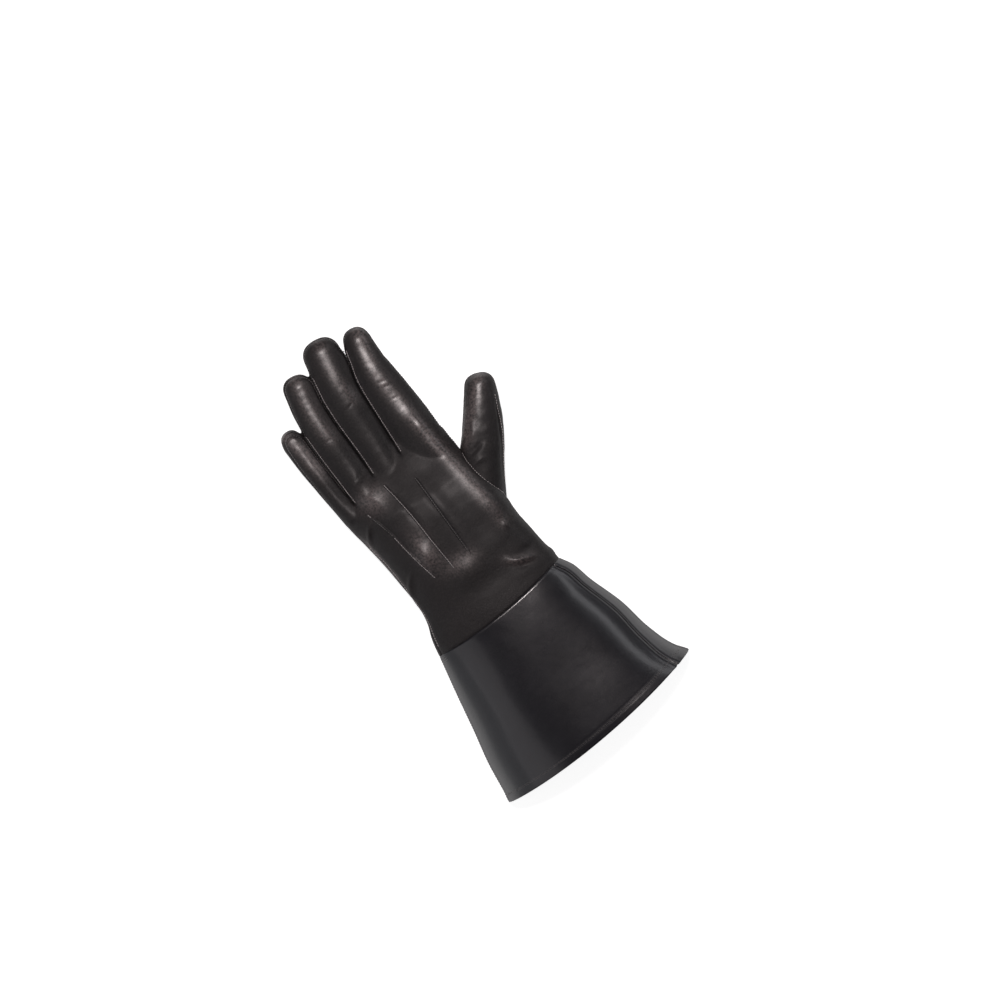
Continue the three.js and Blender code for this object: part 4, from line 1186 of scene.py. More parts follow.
class Cuff:
    """The flared cuff: upper and lower panels, turned hem, side seams and stitches."""

    STEP = 0.9
    COLUMNS = 200
    SEAM_GAP = 0.12
    HEM_LINES = (5.4, 6.9)

    def __init__(self, workshop: Workshop, sleeve: Sleeve, sizes: GloveSizes) -> None:
        """Lays out the stations along the cuff."""
        self.workshop = workshop
        self.sleeve = sleeve
        self.sizes = sizes
        self.thread = Thread("cuff_stitching", 1.5, 0.2)
        edge = np.array([0.0, 0.12, 0.35, 0.7, 1.2])
        inner = np.arange(2.0, sizes.cuff_length + sizes.lap, self.STEP)
        self.along = np.concatenate([edge, inner, [sizes.cuff_length + sizes.lap]]) - sizes.cuff_length

    def inset(self) -> Array:
        """How far the leather is drawn in along the cuff: rounded at the hem, stepped under the hand."""
        s = self.sizes
        from_hem = self.along + s.cuff_length
        rolled = 0.55 * (1 - np.sqrt(np.clip(1 - (1 - np.clip(from_hem / 0.7, 0, 1)) ** 2, 0, 1)))
        stepped = s.lap_step * ease(self.along, -0.5, 1.0)
        band = -0.22 * (1 - ease(from_hem, s.hem_width - 0.6, s.hem_width + 0.6))
        groove = sum(0.20 * np.exp(-(((from_hem - line) / 0.5) ** 2)) for line in self.HEM_LINES)
        return rolled + stepped + band + groove

    def right_seam(self) -> Array:
        """Place round each section of the seam beside the thumb-side edge."""
        s = self.sizes
        right = self.sleeve.at(self.along)[:, 4]
        share = np.clip(1 + self.along / s.cuff_length, 0, 1)
        strip = s.side_strip + (s.mouth_strip - s.side_strip) * (1 - share) ** 3
        return self.sleeve.top_angle(self.along, right - strip)

    def panel(self, start: Array, end: Array) -> Surface:
        """A panel between two places round the sections."""
        share = np.linspace(0, 1, self.COLUMNS)[None, :]
        angles = start[:, None] + (end - start)[:, None] * share
        grid = self.sleeve.rings(self.along, angles, self.inset())
        skin = Surface(grid.reshape(-1, 3), grid_quads(*grid.shape[:2]))
        middle = np.array([grid[:, :, 0].mean(), 0.0, 20.0])
        outward = (skin.normals() * (skin.points - middle) * np.array([1, 0, 1])).sum()
        return skin if outward > 0 else Surface(skin.points, skin.quads[:, ::-1])

    def shape(self, skin: Surface) -> None:
        """Gives the leather its soft waves, creases and rolled seam edges."""
        points = skin.points
        normals = skin.normals()
        grid = (len(self.along), self.COLUMNS)
        rows = points.reshape(*grid, 3)
        reach = np.linalg.norm(np.diff(rows, axis=1), axis=2)
        before = np.concatenate([np.zeros((grid[0], 1)), np.cumsum(reach, axis=1)], axis=1)
        side = np.minimum(before, before[:, -1:] - before).ravel()
        from_hem = np.repeat(self.along + self.sizes.cuff_length, self.COLUMNS)
        near_seam = 1 - ease(np.abs(np.repeat(self.along, self.COLUMNS)), 3, 26)
        free = ease(from_hem, 0, 10)
        lift = 0.9 * free * crumple(points, (60, 46, 40), 8.3)
        lift += 0.05 * free * crumple(points, (24, 30, 20), 19.1)
        lift += near_seam * 0.10 * crumple(points, (9, 18, 9), 33.9)
        lift += 0.02 * crumple(points, (5, 5, 5), 90.4)
        lift -= 0.5 * (1 - ease(side, 0.0, 1.1))
        lift += 0.16 * np.exp(-(((side - 2.6) / 1.5) ** 2))
        skin.points = points + normals * lift[:, None]
        skin.points[:, 2] = np.maximum(skin.points[:, 2], GROUND)

    def lines(self, skin: Surface, side: int) -> list[tuple[Array, Array]]:
        """Stitch lines beside a panel's side edge."""
        rows = skin.points.reshape(len(self.along), self.COLUMNS, 3)
        normals = skin.normals().reshape(rows.shape)
        ups = normals[4:-8, side]
        path = rows[4:-8, side]
        inward = unit(rows[4:-8, 6 if side == 0 else -7] - path)
        return [laid_on(skin, path + inward * inset + ups * 0.3) for inset in (0.9, 2.4)]

    def sew(self, skin: Surface, sides: Sequence[tuple[int, int]]) -> None:
        """Lays the hem's double stitch line and the seam stitches on a panel.

        Args:
            skin: The panel's outer skin.
            sides: Each side to sew, with its number of lines.
        """
        rows = skin.points.reshape(len(self.along), self.COLUMNS, 3)
        normals = skin.normals().reshape(rows.shape)
        for line in self.HEM_LINES:
            near = int(np.abs(self.along + self.sizes.cuff_length - line).argmin())
            self.thread.run(rows[near, 3:-3], normals[near, 3:-3], 2.1, 0.06)
        for side, count in sides:
            for path, ups in self.lines(skin, side)[:count]:
                self.thread.run(path, ups, 2.1, 0.03)

    def bar_tack(self, skin: Surface) -> None:
        """Three short rows of stitches at the little-finger end of the wrist seam."""
        for place in (-2.4, -4.0, -5.6):
            x = np.linspace(-71.3, -67.6, 12)
            guess = np.column_stack([x, place + 0.15 * (x + 71.3), np.linspace(16, 24, 12)])
            path, ups = laid_on(skin, guess)
            self.thread.run(path, ups, 1.25, 0.1)

    def build(self, finishes: "Finishes") -> None:
        """Makes and dresses the cuff's pieces."""
        s, shop = self.sizes, self.workshop
        right = self.right_seam()
        gap = self.SEAM_GAP / 60
        back = self.panel(right + gap, np.full(len(right), np.pi - gap))
        palm = self.panel(np.full(len(right), np.pi + gap), 2 * np.pi + right - gap)
        hem = s.cuff_wall * 0.8
        for skin, node in ((back, "cuff_back"), (palm, "cuff_palm")):
            self.shape(skin)
            from_hem = np.repeat(self.along + s.cuff_length, self.COLUMNS)
            turned = hem * (1 - ease(from_hem, s.hem_width, s.hem_width + 0.8)) * ease(from_hem, -0.1, 0.8)
            piece = shop.mesh(node + "_leather", skin.wall(s.cuff_wall, turned))
            shop.place(piece, Slot.CUFF, finishes.cuff, [node])
        self.sew(back, ((-1, 2),))
        self.sew(palm, ((0, 1), (-1, 1)))
        self.bar_tack(back)
        shop.place(shop.mesh(self.thread.name, self.thread.skin()), Slot.CUFF, finishes.dull_thread)


@dataclass(frozen=True)
class StrapSizes:
    """Sizes of the strap, buckle and snaps under the wrist, in millimetres."""

    width: float = 18.0
    thick: float = 1.2
    chape_thick: float = 1.0
    start: float = -63.0
    upper: float = 8.1
    lower: float = 3.4
    shoulder: float = -22.0
    tab_radius: float = 13.75
    chape_upper: float = 8.2
    chape_lower: float = 3.5
    chape_end: float = 21.0
    bars: tuple[float, float, float] = (2.0, 7.4, 13.0)
    bar_level: float = 5.2
    wire: float = 1.6
    buckle_length: float = 25.4
    cap_radius: float = 7.0
    cap_levels: tuple[float, float] = (0.3, 2.5)
    spare_x: float = -57.5


class Strap:
    """The strap, its tab, the buckle's loop, the buckle and the snaps."""

    def __init__(self, workshop: Workshop, sizes: GloveSizes, strap: StrapSizes) -> None:
        """Keeps the sizes and the thread."""
        self.workshop = workshop
        self.sizes = sizes
        self.strap = strap
        self.thread = Thread("strap_stitching", 1.3, 0.2)

    def ribbon(self, path: Array, half: Array, thick: float) -> Surface:
        """A flat strip along a path seen from the side.

        Args:
            path: Rows of x and z.
            half: Half width at each row.
            thick: Thickness of the strip.

        Returns:
            The closed strip, with rounded edges.
        """
        way = unit(np.gradient(path, axis=0))
        out = np.column_stack([-way[:, 1], way[:, 0]])
        radius = thick * 0.38
        fill = np.linspace(1, -1, 11)[1:-1]
        sign, across, level = [], [], []
        for turn, (sx, sz) in enumerate(((1, 1), (-1, 1), (-1, -1), (1, -1))):
            spin = np.linspace(0, np.pi / 2, 5) + turn * np.pi / 2
            sign.extend([sx] * 5)
            across.extend(radius * np.cos(spin))
            level.extend(sz * (thick / 2 - radius) + radius * np.sin(spin))
            if sx == sz:
                sign.extend(sx * fill)
                across.extend(0 * fill)
                level.extend(sz * thick / 2 + 0 * fill)
        width = (half[:, None] - radius) * np.array(sign) + np.array(across)
        rows = np.stack([
            path[:, None, 0] + out[:, None, 0] * np.array(level), self.sizes.strap_y + width,
            path[:, None, 1] + out[:, None, 1] * np.array(level),
        ], axis=-1)
        return closed_tube(rows)

    def strip(self) -> Surface:
        """The strap: its inner layer, the fold round the buckle's bar and the tab."""
        s = self.strap
        middle, radius = (s.upper + s.lower) / 2, (s.upper - s.lower) / 2
        turn = np.linspace(np.pi / 2, -np.pi / 2, 25)
        fold = np.column_stack([s.bars[0] + radius * np.cos(turn), middle + radius * np.sin(turn)])
        first = np.column_stack([np.linspace(s.start, s.bars[0] - 0.5, 90), np.full(90, s.upper)])
        end = self.sizes.tab_x - s.tab_radius
        curve = np.linspace(0, np.pi / 2, 36)[1:]
        tab = self.sizes.tab_x - s.tab_radius * np.sin(curve)
        tab[-1] = end + 0.04
        x = np.concatenate([np.linspace(s.bars[0] - 0.5, self.sizes.tab_x, 70), tab])
        second = np.column_stack([x, np.full(len(x), s.lower)])
        path = np.vstack([first, fold, second])
        half = np.full(len(path), s.width / 2)
        tail = slice(len(first) + len(fold), None)
        swell = 1 - ease(x, self.sizes.tab_x, s.shoulder)
        wide = s.width / 2 + (s.tab_radius - s.width / 2) * swell
        past = np.clip((self.sizes.tab_x - x) / s.tab_radius, 0, 1)
        half[tail] = wide * np.sqrt(np.clip(1 - past**2, 0, 1))
        half[0] -= 0.3
        path[:, 1] += 0.10 * np.sin(path[:, 0] / 9) * (path[:, 1] < middle)
        return self.ribbon(path, np.maximum(half, 0.5), s.thick)

    def loop(self) -> Surface:
        """The folded loop that holds the buckle's middle bar."""
        s = self.strap
        middle, radius = (s.chape_upper + s.chape_lower) / 2, (s.chape_upper - s.chape_lower) / 2
        turn = np.linspace(np.pi / 2, 3 * np.pi / 2, 25)
        fold = np.column_stack([s.bars[1] + radius * np.cos(turn), middle + radius * np.sin(turn)])
        reach = np.linspace(s.bars[1] + 0.4, s.chape_end, 40)
        lower = np.column_stack([reach, np.full(40, s.chape_lower)])
        path = np.vstack([np.column_stack([reach[::-1], np.full(40, s.chape_upper)]), fold, lower])
        return self.ribbon(path, np.full(len(path), s.width / 2), s.chape_thick)

    def sew(self) -> None:
        """Lays the stitches along the tab, the strap's edges and the loop's end, on their lower side."""
        s, y = self.strap, self.sizes.strap_y
        down = np.array([0.0, 0.0, -1.0])
        level = s.lower - s.thick / 2
        inset = 1.9
        x = np.linspace(s.bars[0] - 2, self.sizes.tab_x, 60)
        swell = 1 - ease(x, self.sizes.tab_x, s.shoulder)
        wide = s.width / 2 + (s.tab_radius - s.width / 2) * swell - inset
        turn = np.linspace(np.pi / 2, 3 * np.pi / 2, 50)[1:-1]
        round_x = self.sizes.tab_x + (s.tab_radius - inset) * np.cos(turn)
        round_y = (s.tab_radius - inset) * np.sin(turn)
        outline_x = np.concatenate([x, round_x, x[::-1]])
        outline_y = np.concatenate([wide, round_y, -wide[::-1]])
        lift = 0.10 * np.sin(outline_x / 9)
        path = np.column_stack([outline_x, y + outline_y, level + lift])
        self.thread.run(path, np.tile(down, (len(path), 1)), 2.0, 0.02)
        for place in (s.chape_end - 2.0, s.chape_end - 3.9, s.bars[1] + 4.0):
            across = np.linspace(-s.width / 2 + 1.2, s.width / 2 - 1.2, 30)
            under = np.full(30, s.chape_lower - s.chape_thick / 2)
            line = np.column_stack([np.full(30, place), y + across, under])
            self.thread.run(line, np.tile(down, (30, 1)), 2.0, 0.02)

    def buckle(self) -> bpy.types.Object:
        """The three-bar slide, drawn as a flat frame, raised and rounded."""
        s, origin = self.strap, self.workshop.origin
        left, middle, right = s.bars
        bpy.ops.mesh.primitive_grid_add(x_subdivisions=2, y_subdivisions=1, size=1)
        piece = bpy.context.active_object
        piece.name = "slide_buckle"
        for corner in piece.data.vertices:
            side = round(corner.co.x * 2)
            place = {-1: left - s.wire / 2, 0: middle, 1: right + s.wire / 2}[side]
            corner.co = Vector((place * MM, corner.co.y * s.buckle_length * MM, 0))
        bpy.ops.object.mode_set(mode="EDIT")
        bpy.ops.mesh.select_all(action="SELECT")
        bpy.ops.mesh.inset(thickness=s.wire * MM, use_individual=True, use_even_offset=True)
        bpy.ops.mesh.delete(type="FACE")
        bpy.ops.mesh.select_all(action="SELECT")
        bpy.ops.mesh.extrude_region_move(TRANSFORM_OT_translate={"value": (0, 0, s.wire * MM)})
        bpy.ops.mesh.select_all(action="SELECT")
        bpy.ops.mesh.normals_make_consistent(inside=False)
        bpy.ops.mesh.bevel(offset=s.wire * 0.3 * MM, segments=4, affect="EDGES", clamp_overlap=True)
        bpy.ops.object.mode_set(mode="OBJECT")
        shift = Vector((origin[0], origin[1] + self.sizes.strap_y * MM, (s.bar_level - s.wire / 2) * MM))
        piece.data.transform(Matrix.Translation(shift))
        select_only(piece)
        bpy.ops.object.shade_smooth_by_angle(angle=math.radians(40))
        return piece

    def turned(self, name: str, x: float, profile: Sequence[tuple[float, float]]) -> bpy.types.Object:
        """A round metal piece spun from its profile.

        Args:
            name: Name of the piece.
            x: Place of its axis along the strap.
            profile: Radius and level of each profile point, from axis to axis.

        Returns:
            The finished object.
        """
        data = bpy.data.meshes.new(name)
        corners = [(radius * MM, 0.0, level * MM) for radius, level in profile]
        data.from_pydata(corners, [(n, n + 1) for n in range(len(corners) - 1)], [])
        piece = bpy.data.objects.new(name, data)
        bpy.context.scene.collection.objects.link(piece)
        select_only(piece)
        bpy.ops.object.mode_set(mode="EDIT")
        bpy.ops.mesh.select_all(action="SELECT")
        bpy.ops.mesh.spin(steps=64, angle=math.tau, center=(0, 0, 0), axis=(0, 0, 1))
        bpy.ops.mesh.select_all(action="SELECT")
        bpy.ops.mesh.remove_doubles(threshold=0.00001)
        bpy.ops.mesh.normals_make_consistent(inside=False)
        bpy.ops.object.mode_set(mode="OBJECT")
        origin = self.workshop.origin
        shift = Vector((origin[0] + x * MM, origin[1] + self.sizes.strap_y * MM, 0))
        piece.data.transform(Matrix.Translation(shift))
        select_only(piece)
        bpy.ops.object.shade_smooth_by_angle(angle=math.radians(35))
        return piece

    def dome(self, radius: float, low: float, high: float) -> list[tuple[float, float]]:
        """Profile of a domed cap facing down, with a rolled rim."""
        shoulder = high - 0.7
        turns = [t * math.pi / 2 for t in np.linspace(0, 1, 14)]
        curve = [(radius * 0.94 * math.sin(turn), shoulder - (shoulder - low) * math.cos(turn))
                 for turn in turns]
        rim = [(radius, high - 0.55), (radius, high - 0.25), (radius * 0.97, high)]
        return [*curve, *rim, (0.0, high)]

    def build(self, finishes: "Finishes") -> None:
        """Makes and dresses the strap's pieces."""
        s, shop = self.strap, self.workshop
        tab_x = self.sizes.tab_x
        shop.place(shop.mesh("strap_leather", self.strip()), Slot.STRAP, finishes.strap, ["strap"])
        shop.place(shop.mesh("buckle_loop", self.loop()), Slot.STRAP, finishes.strap, ["chape"])
        self.sew()
        shop.place(shop.mesh(self.thread.name, self.thread.skin()), Slot.STRAP, finishes.thread)
        shop.place(self.buckle(), Slot.METAL, finishes.metal, ["buckle"])
        low, high = s.cap_levels
        cap = self.turned("snap_cap_dome", tab_x, self.dome(s.cap_radius, low, high))
        shop.place(cap, Slot.METAL, finishes.metal, ["snap_cap"])
        stud = ((0, 4.3), (4.3, 4.3), (4.5, 4.5), (4.5, 4.8), (4.2, 5.0), (2.2, 5.1), (1.6, 5.6), (1.9, 6.4),
                (2.0, 7.0), (1.6, 7.4), (0, 7.5))
        shop.place(self.turned("hidden_stud", tab_x, stud), Slot.METAL, finishes.metal, ["snap_stud"])
        spare = ((0, 5.0), (1.2, 5.05), (1.7, 5.4), (1.75, 5.9), (1.4, 6.4), (1.5, 6.8), (2.8, 6.95),
                 (3.0, 7.15),
                 (2.9, 7.4), (0, 7.45))
        shop.place(self.turned("open_stud", s.spare_x, spare), Slot.METAL, finishes.metal, ["spare_stud"])


class Signal:
    """A shader socket that arithmetic can be written with."""

    def __init__(self, tree: bpy.types.NodeTree, socket: bpy.types.NodeSocket) -> None:
        """Wraps a socket of a node tree."""
        self.tree = tree
        self.socket = socket

    def combine(self, operation: str, *values: "Signal | float", clamp: bool = False) -> "Signal":
        """Joins values with one maths node."""
        node = self.tree.nodes.new("ShaderNodeMath")
        node.operation = operation
        node.use_clamp = clamp
        for slot, value in zip(node.inputs, values):
            if isinstance(value, Signal):
                self.tree.links.new(value.socket, slot)
            else:
                slot.default_value = value
        return Signal(self.tree, node.outputs[0])

    def __add__(self, other: "Signal | float") -> "Signal":
        """Sum."""
        return self.combine("ADD", self, other)

    def __radd__(self, other: float) -> "Signal":
        """Sum with a number first."""
        return self.combine("ADD", other, self)

    def __sub__(self, other: "Signal | float") -> "Signal":
        """Difference."""
        return self.combine("SUBTRACT", self, other)

    def __rsub__(self, other: float) -> "Signal":
        """Difference from a number."""
        return self.combine("SUBTRACT", other, self)

    def __mul__(self, other: "Signal | float") -> "Signal":
        """Product."""
        return self.combine("MULTIPLY", self, other)

    def __rmul__(self, other: float) -> "Signal":
        """Product with a number first."""
        return self.combine("MULTIPLY", other, self)

    def __truediv__(self, other: "Signal | float") -> "Signal":
        """Quotient."""
        return self.combine("DIVIDE", self, other)

    def __pow__(self, other: "Signal | float") -> "Signal":
        """Power."""
        return self.combine("POWER", self, other)

    def clamped(self) -> "Signal":
        """The value held between 0 and 1."""
        return self.combine("ADD", self, 0.0, clamp=True)

    def smallest(self, other: "Signal | float") -> "Signal":
        """The smaller of two values."""
        return self.combine("MINIMUM", self, other)


class Shader:
    """A material that is put together from nodes."""

    def __init__(self, name: str) -> None:
        """Starts a material with one principled shader."""
        self.material = bpy.data.materials.new(name)
        self.material.use_nodes = True
        self.tree = self.material.node_tree
        self.tree.nodes.clear()
        output = self.node("ShaderNodeOutputMaterial")
        self.principled = self.node("ShaderNodeBsdfPrincipled")
        self.tree.links.new(self.principled.outputs["BSDF"], output.inputs["Surface"])

    def node(self, kind: str, settings: dict[str, object] | None = None,
             sockets: dict[str, object] | None = None) -> bpy.types.Node:
        """Adds a node, with its settings and then its sockets."""
        node = self.tree.nodes.new(kind)
        for key, value in (settings or {}).items():
            setattr(node, key, value)
        for key, value in (sockets or {}).items():
            if isinstance(value, Signal):
                self.tree.links.new(value.socket, node.inputs[key])
            else:
                node.inputs[key].default_value = value
        return node

    def place(self) -> Signal:
        """Place on the piece, in metres."""
        return Signal(self.tree, self.node("ShaderNodeTexCoord").outputs["Object"])

    def stretched(self, place: Signal, scale: tuple[float, float, float]) -> Signal:
        """A place multiplied along each axis."""
        node = self.node("ShaderNodeVectorMath", {"operation": "MULTIPLY"}, {0: place, 1: scale})
        return Signal(self.tree, node.outputs[0])

    def noise(self, place: Signal, scale: float, detail: float = 2.0, roughness: float = 0.5) -> Signal:
        """Smooth noise around 0.5."""
        node = self.node("ShaderNodeTexNoise", None, {
            "Vector": place, "Scale": scale, "Detail": detail, "Roughness": roughness,
        })
        return Signal(self.tree, node.outputs["Fac"])

    def cells(self, place: Signal, scale: float, randomness: float = 1.0) -> Signal:
        """Distance from the edges between cells."""
        node = self.node("ShaderNodeTexVoronoi", {"feature": "DISTANCE_TO_EDGE"}, {
            "Vector": place, "Scale": scale, "Randomness": randomness,
        })
        return Signal(self.tree, node.outputs["Distance"])

    def attribute(self, name: str) -> Signal:
        """A number that the piece carries at its points."""
        return Signal(self.tree, self.node("ShaderNodeAttribute", {"attribute_name": name}).outputs["Fac"])

    def away(self) -> Signal:
        """How far the surface turns away from the viewer, for its gloss."""
        return Signal(self.tree, self.node("ShaderNodeLayerWeight", None, {"Blend": 0.5}).outputs["Facing"])

    def mixed(self, share: Signal, first: Signal | Colour, second: Colour) -> Signal:
        """A colour between two."""
        first = (*first, 1) if isinstance(first, tuple) else first
        node = self.node("ShaderNodeMix", {"data_type": "RGBA"}, {0: share, 6: first, 7: (*second, 1)})
        return Signal(self.tree, node.outputs[2])

    def bump(self, height: Signal, distance: float, strength: float) -> None:
        """Gives the surface a fine relief.

        Args:
            height: Relief from 0 to 1.
            distance: Its depth in metres.
            strength: Share of the relief that shows.
        """
        sockets = {"Strength": strength, "Distance": distance, "Height": height}
        node = self.node("ShaderNodeBump", None, sockets)
        self.tree.links.new(node.outputs["Normal"], self.principled.inputs["Normal"])

    def feed(self, **values: object) -> None:
        """Sets or links the principled shader's sockets, named with underscores."""
        for key, value in values.items():
            socket = self.principled.inputs[key.replace("_", " ").title().replace("Ior", "IOR")]
            if isinstance(value, Signal):
                self.tree.links.new(value.socket, socket)
            else:
                socket.default_value = value


@dataclass(frozen=True)
class LeatherFinish:
    """Grain, gloss and colour of a leather."""

    name: str
    dark: Colour
    light: Colour
    gloss: float
    rough: float
    uneven: float
    pebble: float
    depth: float
    crease: float
    coat: float
    coat_rough: float
    matt: float = 0.45
    # How strongly the burnish map gives gloss, and the lighter, warmer colour that it paints there as a
    # highlight
    burnish_and_painted_highlight: float = 0.0
    painted_highlight_colour: Colour = (0.02, 0.02, 0.02)

    def material(self) -> bpy.types.Material:
        """Builds the leather."""
        shader = Shader(self.name)
        place = shader.place()
        soft = shader.noise(place, 38, 3)
        fine = shader.noise(place, 1900, 3, 0.6)
        grain = (shader.cells(place, 1000 / self.pebble) * 2.6).smallest(1.0)
        wide = (shader.cells(shader.stretched(place, (0.55, 1.5, 1.0)), 240) * 3.2).smallest(1.0)
        worn = shader.noise(place, 150, 4, 0.65)
        mottle = shader.noise(place, 620, 2)
        height = grain * 0.6 + fine * 0.4 + wide * self.crease + worn * 0.8 + mottle * 1.1
        shader.bump(height, self.depth * MM, 1.0)
        colour = shader.mixed((soft * 1.6 - 0.3).clamped(), self.dark, self.light)
        away = shader.away() ** 2.0
        rough = self.rough + (worn - 0.5) * self.uneven + (1.0 - grain) * self.uneven * 0.5
        rough = rough + away * self.matt
        # The burnish map adds gloss through the coat and roughness, and lightens the base colour in grainy
        # patches as a painted highlight
        wear = shader.attribute(Hand.WEAR_AND_PAINTED_HIGHLIGHT) * self.burnish_and_painted_highlight
        painted_highlight_share = (wear * (worn * 1.0 + mottle * 3.4 + fine * 1.2 - 2.1)).clamped()
        colour = shader.mixed(painted_highlight_share, colour, self.painted_highlight_colour)
        wear = wear + (1.0 - self.burnish_and_painted_highlight)
        rough = rough + (1.0 - wear) * 0.08
        patchy = (1.0 + (worn - 0.5) * self.uneven * 10.0).clamped()
        shine = self.coat * wear * patchy * (1.0 - away * self.matt * 2.0).clamped()
        shader.feed(base_color=colour, roughness=rough.clamped(), specular_ior_level=self.gloss,
                    coat_weight=shine, coat_roughness=self.coat_rough)
        return shader.material


@dataclass(frozen=True)
class ThreadFinish:
    """Dark waxed thread; the default colours are lightened as a painted highlight, for stitches that catch
    the light.
    """

    name: str = "thread"
    dark: Colour = (0.12, 0.11, 0.11)
    light: Colour = (0.55, 0.51, 0.51)

    def material(self) -> bpy.types.Material:
        """Builds the thread."""
        shader = Shader(self.name)
        place = shader.place()
        strands = shader.noise(place, 2600, 2)
        shader.bump(strands, 0.08 * MM, 0.8)
        colour = shader.mixed((strands * 2.0 - 0.5).clamped(), self.dark, self.light)
        shader.feed(base_color=colour, roughness=(0.38 + strands * 0.2).clamped(), specular_ior_level=0.6)
        return shader.material


@dataclass(frozen=True)
class MetalFinish:
    """Dark polished metal with fine wear."""

    name: str = "dark_metal"
    dark: Colour = (0.16, 0.155, 0.15)
    light: Colour = (0.30, 0.29, 0.28)

    def material(self) -> bpy.types.Material:
        """Builds the metal."""
        shader = Shader(self.name)
        place = shader.place()
        wear = shader.noise(place, 420, 5, 0.7)
        fine = shader.noise(place, 2400, 2)
        shader.bump(fine + wear * 0.5, 0.02 * MM, 0.5)
        colour = shader.mixed((wear * 2.2 - 0.6).clamped(), self.dark, self.light)
        rough = 0.17 + (wear - 0.4) * 0.25
        shader.feed(base_color=colour, metallic=1.0, roughness=rough.clamped())
        return shader.material


HAND_LEATHER = LeatherFinish(
    "hand_leather_grain", dark=(0.0064, 0.0052, 0.0058), light=(0.0115, 0.0088, 0.0093), gloss=0.32,
    rough=0.42, uneven=0.20, pebble=0.85, depth=0.14, crease=0.25, coat=0.95, coat_rough=0.29,
    matt=0.45, burnish_and_painted_highlight=0.90, painted_highlight_colour=(0.116, 0.094, 0.092),
)
CUFF_LEATHER = LeatherFinish(
    "cuff_leather_smooth", dark=(0.0075, 0.0072, 0.0100), light=(0.0105, 0.0102, 0.0145), gloss=0.45,
    rough=0.28, uneven=0.06, pebble=0.60, depth=0.02, crease=0.05, coat=0.50, coat_rough=0.18, matt=0.65,
)
STRAP_LEATHER = LeatherFinish(
    "strap_leather_grain", dark=(0.012, 0.011, 0.010), light=(0.022, 0.020, 0.019), gloss=0.5,
    rough=0.40, uneven=0.22, pebble=0.95, depth=0.11, crease=0.25, coat=0.20, coat_rough=0.25,
)


class Finishes:
    """The glove's materials, made once."""

    def __init__(self) -> None:
        """Builds every material."""
        self.hand = HAND_LEATHER.material()
        self.cuff = CUFF_LEATHER.material()
        self.strap = STRAP_LEATHER.material()
        # The default thread carries a painted highlight, for stitches in the light; the dull thread is the
        # plain dark thread, for the cuff and for stitches in shade
        self.thread = ThreadFinish().material()
        self.dull_thread = ThreadFinish("dull_thread", (0.03, 0.028, 0.028), (0.17, 0.16, 0.16)).material()
        self.metal = MetalFinish().material()


@dataclass(frozen=True)
class Lamp:
    """A soft rectangular light: aim point, direction it comes from, distance, size and power."""

    name: str
    azimuth: float
    height: float
    reach: float
    size: tuple[float, float]
    power: float
    colour: tuple[float, float, float] = (1.0, 1.0, 1.0)

    def build(self, aim: Vector) -> None:
        """Adds the light."""
        data = bpy.data.lights.new(self.name, "AREA")
        data.shape = "RECTANGLE"
        data.size, data.size_y = self.size
        data.energy = self.power
        data.color = self.colour
        lamp = bpy.data.objects.new(self.name, data)
        bpy.context.scene.collection.objects.link(lamp)
        turn, rise = math.radians(self.azimuth), math.radians(self.height)
        way = Vector((math.cos(turn) * math.cos(rise), math.sin(turn) * math.cos(rise), math.sin(rise)))
        lamp.location = aim + way * self.reach
        lamp.rotation_euler = (-way).to_track_quat("-Z", "Y").to_euler()


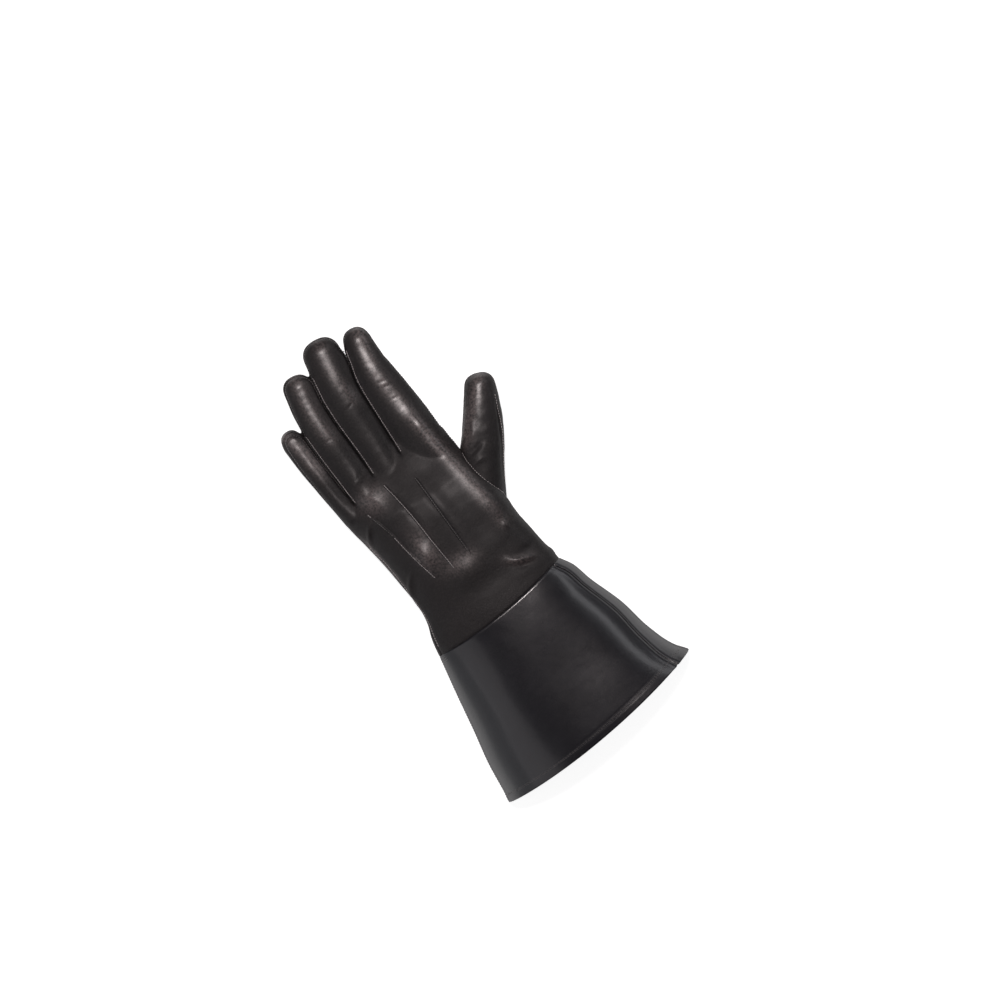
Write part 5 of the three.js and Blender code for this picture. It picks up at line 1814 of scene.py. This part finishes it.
class Stage:
    """Floor, lights and camera."""

    VIEW_WIDTH = 0.740
    LENS = 100.0
    UP = Vector((0.533, 0.846, 0.0))
    RIGHT = Vector((0.846, -0.533, 0.0))
    AIM = Vector((0.0278, 0.0097, 0.0))
    GLOW = 1.50
    LAMPS = (
        Lamp("left_wall", 176, 20, 2.4, (2.6, 1.8), 6.0, (0.96, 0.97, 1.0)),
        Lamp("left_high", 192, 50, 2.2, (2.2, 1.0), 5.0, (1.0, 0.96, 0.98)),
        Lamp("right_strip", 20, 41, 1.3, (1.3, 0.22), 2.2, (0.97, 0.97, 1.0)),
        Lamp("finger_light", 78, 68, 1.8, (0.40, 0.26), 15.0, (1.0, 0.91, 0.90)),
    )

    def floor(self) -> None:
        """A pale floor."""
        bpy.ops.mesh.primitive_plane_add(size=8.0, location=(0, 0, 0))
        ground = bpy.context.active_object
        ground.name = "floor"
        shader = Shader("pale_paper")
        tone = shader.noise(shader.place(), 3.0, 2)
        pale = shader.mixed(tone, (0.56, 0.56, 0.56), (0.60, 0.60, 0.60))
        shader.feed(base_color=pale, roughness=0.9, emission_color=pale, emission_strength=self.GLOW)
        ground.data.materials.append(shader.material)

    def sky(self) -> None:
        """Light all round, weaker overhead."""
        world = bpy.data.worlds.new("studio")
        bpy.context.scene.world = world
        world.use_nodes = True
        tree = world.node_tree
        background = next(node for node in tree.nodes if node.type == "BACKGROUND")
        geometry = tree.nodes.new("ShaderNodeTexCoord")
        split = tree.nodes.new("ShaderNodeSeparateXYZ")
        tree.links.new(geometry.outputs["Generated"], split.inputs[0])
        rise = Signal(tree, split.outputs["Z"])
        strength = 0.02 + (1.0 - rise.clamped()) ** 3.0 * 0.3
        tree.links.new(strength.socket, background.inputs["Strength"])
        background.inputs["Color"].default_value = (1.0, 1.0, 1.0, 1.0)

    def camera(self) -> None:
        """Looks straight down, as the photograph does."""
        data = bpy.data.cameras.new("camera")
        data.lens = self.LENS
        data.sensor_width = 36.0
        camera = bpy.data.objects.new("camera", data)
        bpy.context.scene.collection.objects.link(camera)
        distance = self.VIEW_WIDTH * self.LENS / data.sensor_width
        turn = Matrix((self.RIGHT, self.UP, (0, 0, 1))).transposed().to_4x4()
        camera.matrix_world = Matrix.Translation(self.AIM + Vector((0, 0, distance))) @ turn
        bpy.context.scene.camera = camera

    def build(self) -> None:
        """Sets everything up."""
        bpy.context.scene.view_settings.view_transform = "Standard"
        self.floor()
        self.sky()
        for lamp in self.LAMPS:
            lamp.build(Vector((0, 0, 0)))
        self.camera()


def main() -> None:
    """Builds the glove and its stage."""
    logging.basicConfig(level=logging.INFO, format="%(message)s")
    sleeve = Sleeve(SIZES)
    workshop = Workshop(SIZES)
    finishes = Finishes()
    Cuff(workshop, sleeve, SIZES).build(finishes)
    Strap(workshop, SIZES, StrapSizes()).build(finishes)
    Hand(workshop, sleeve, SIZES).build(finishes)
    Stage().build()


if __name__ == "__main__":
    main()
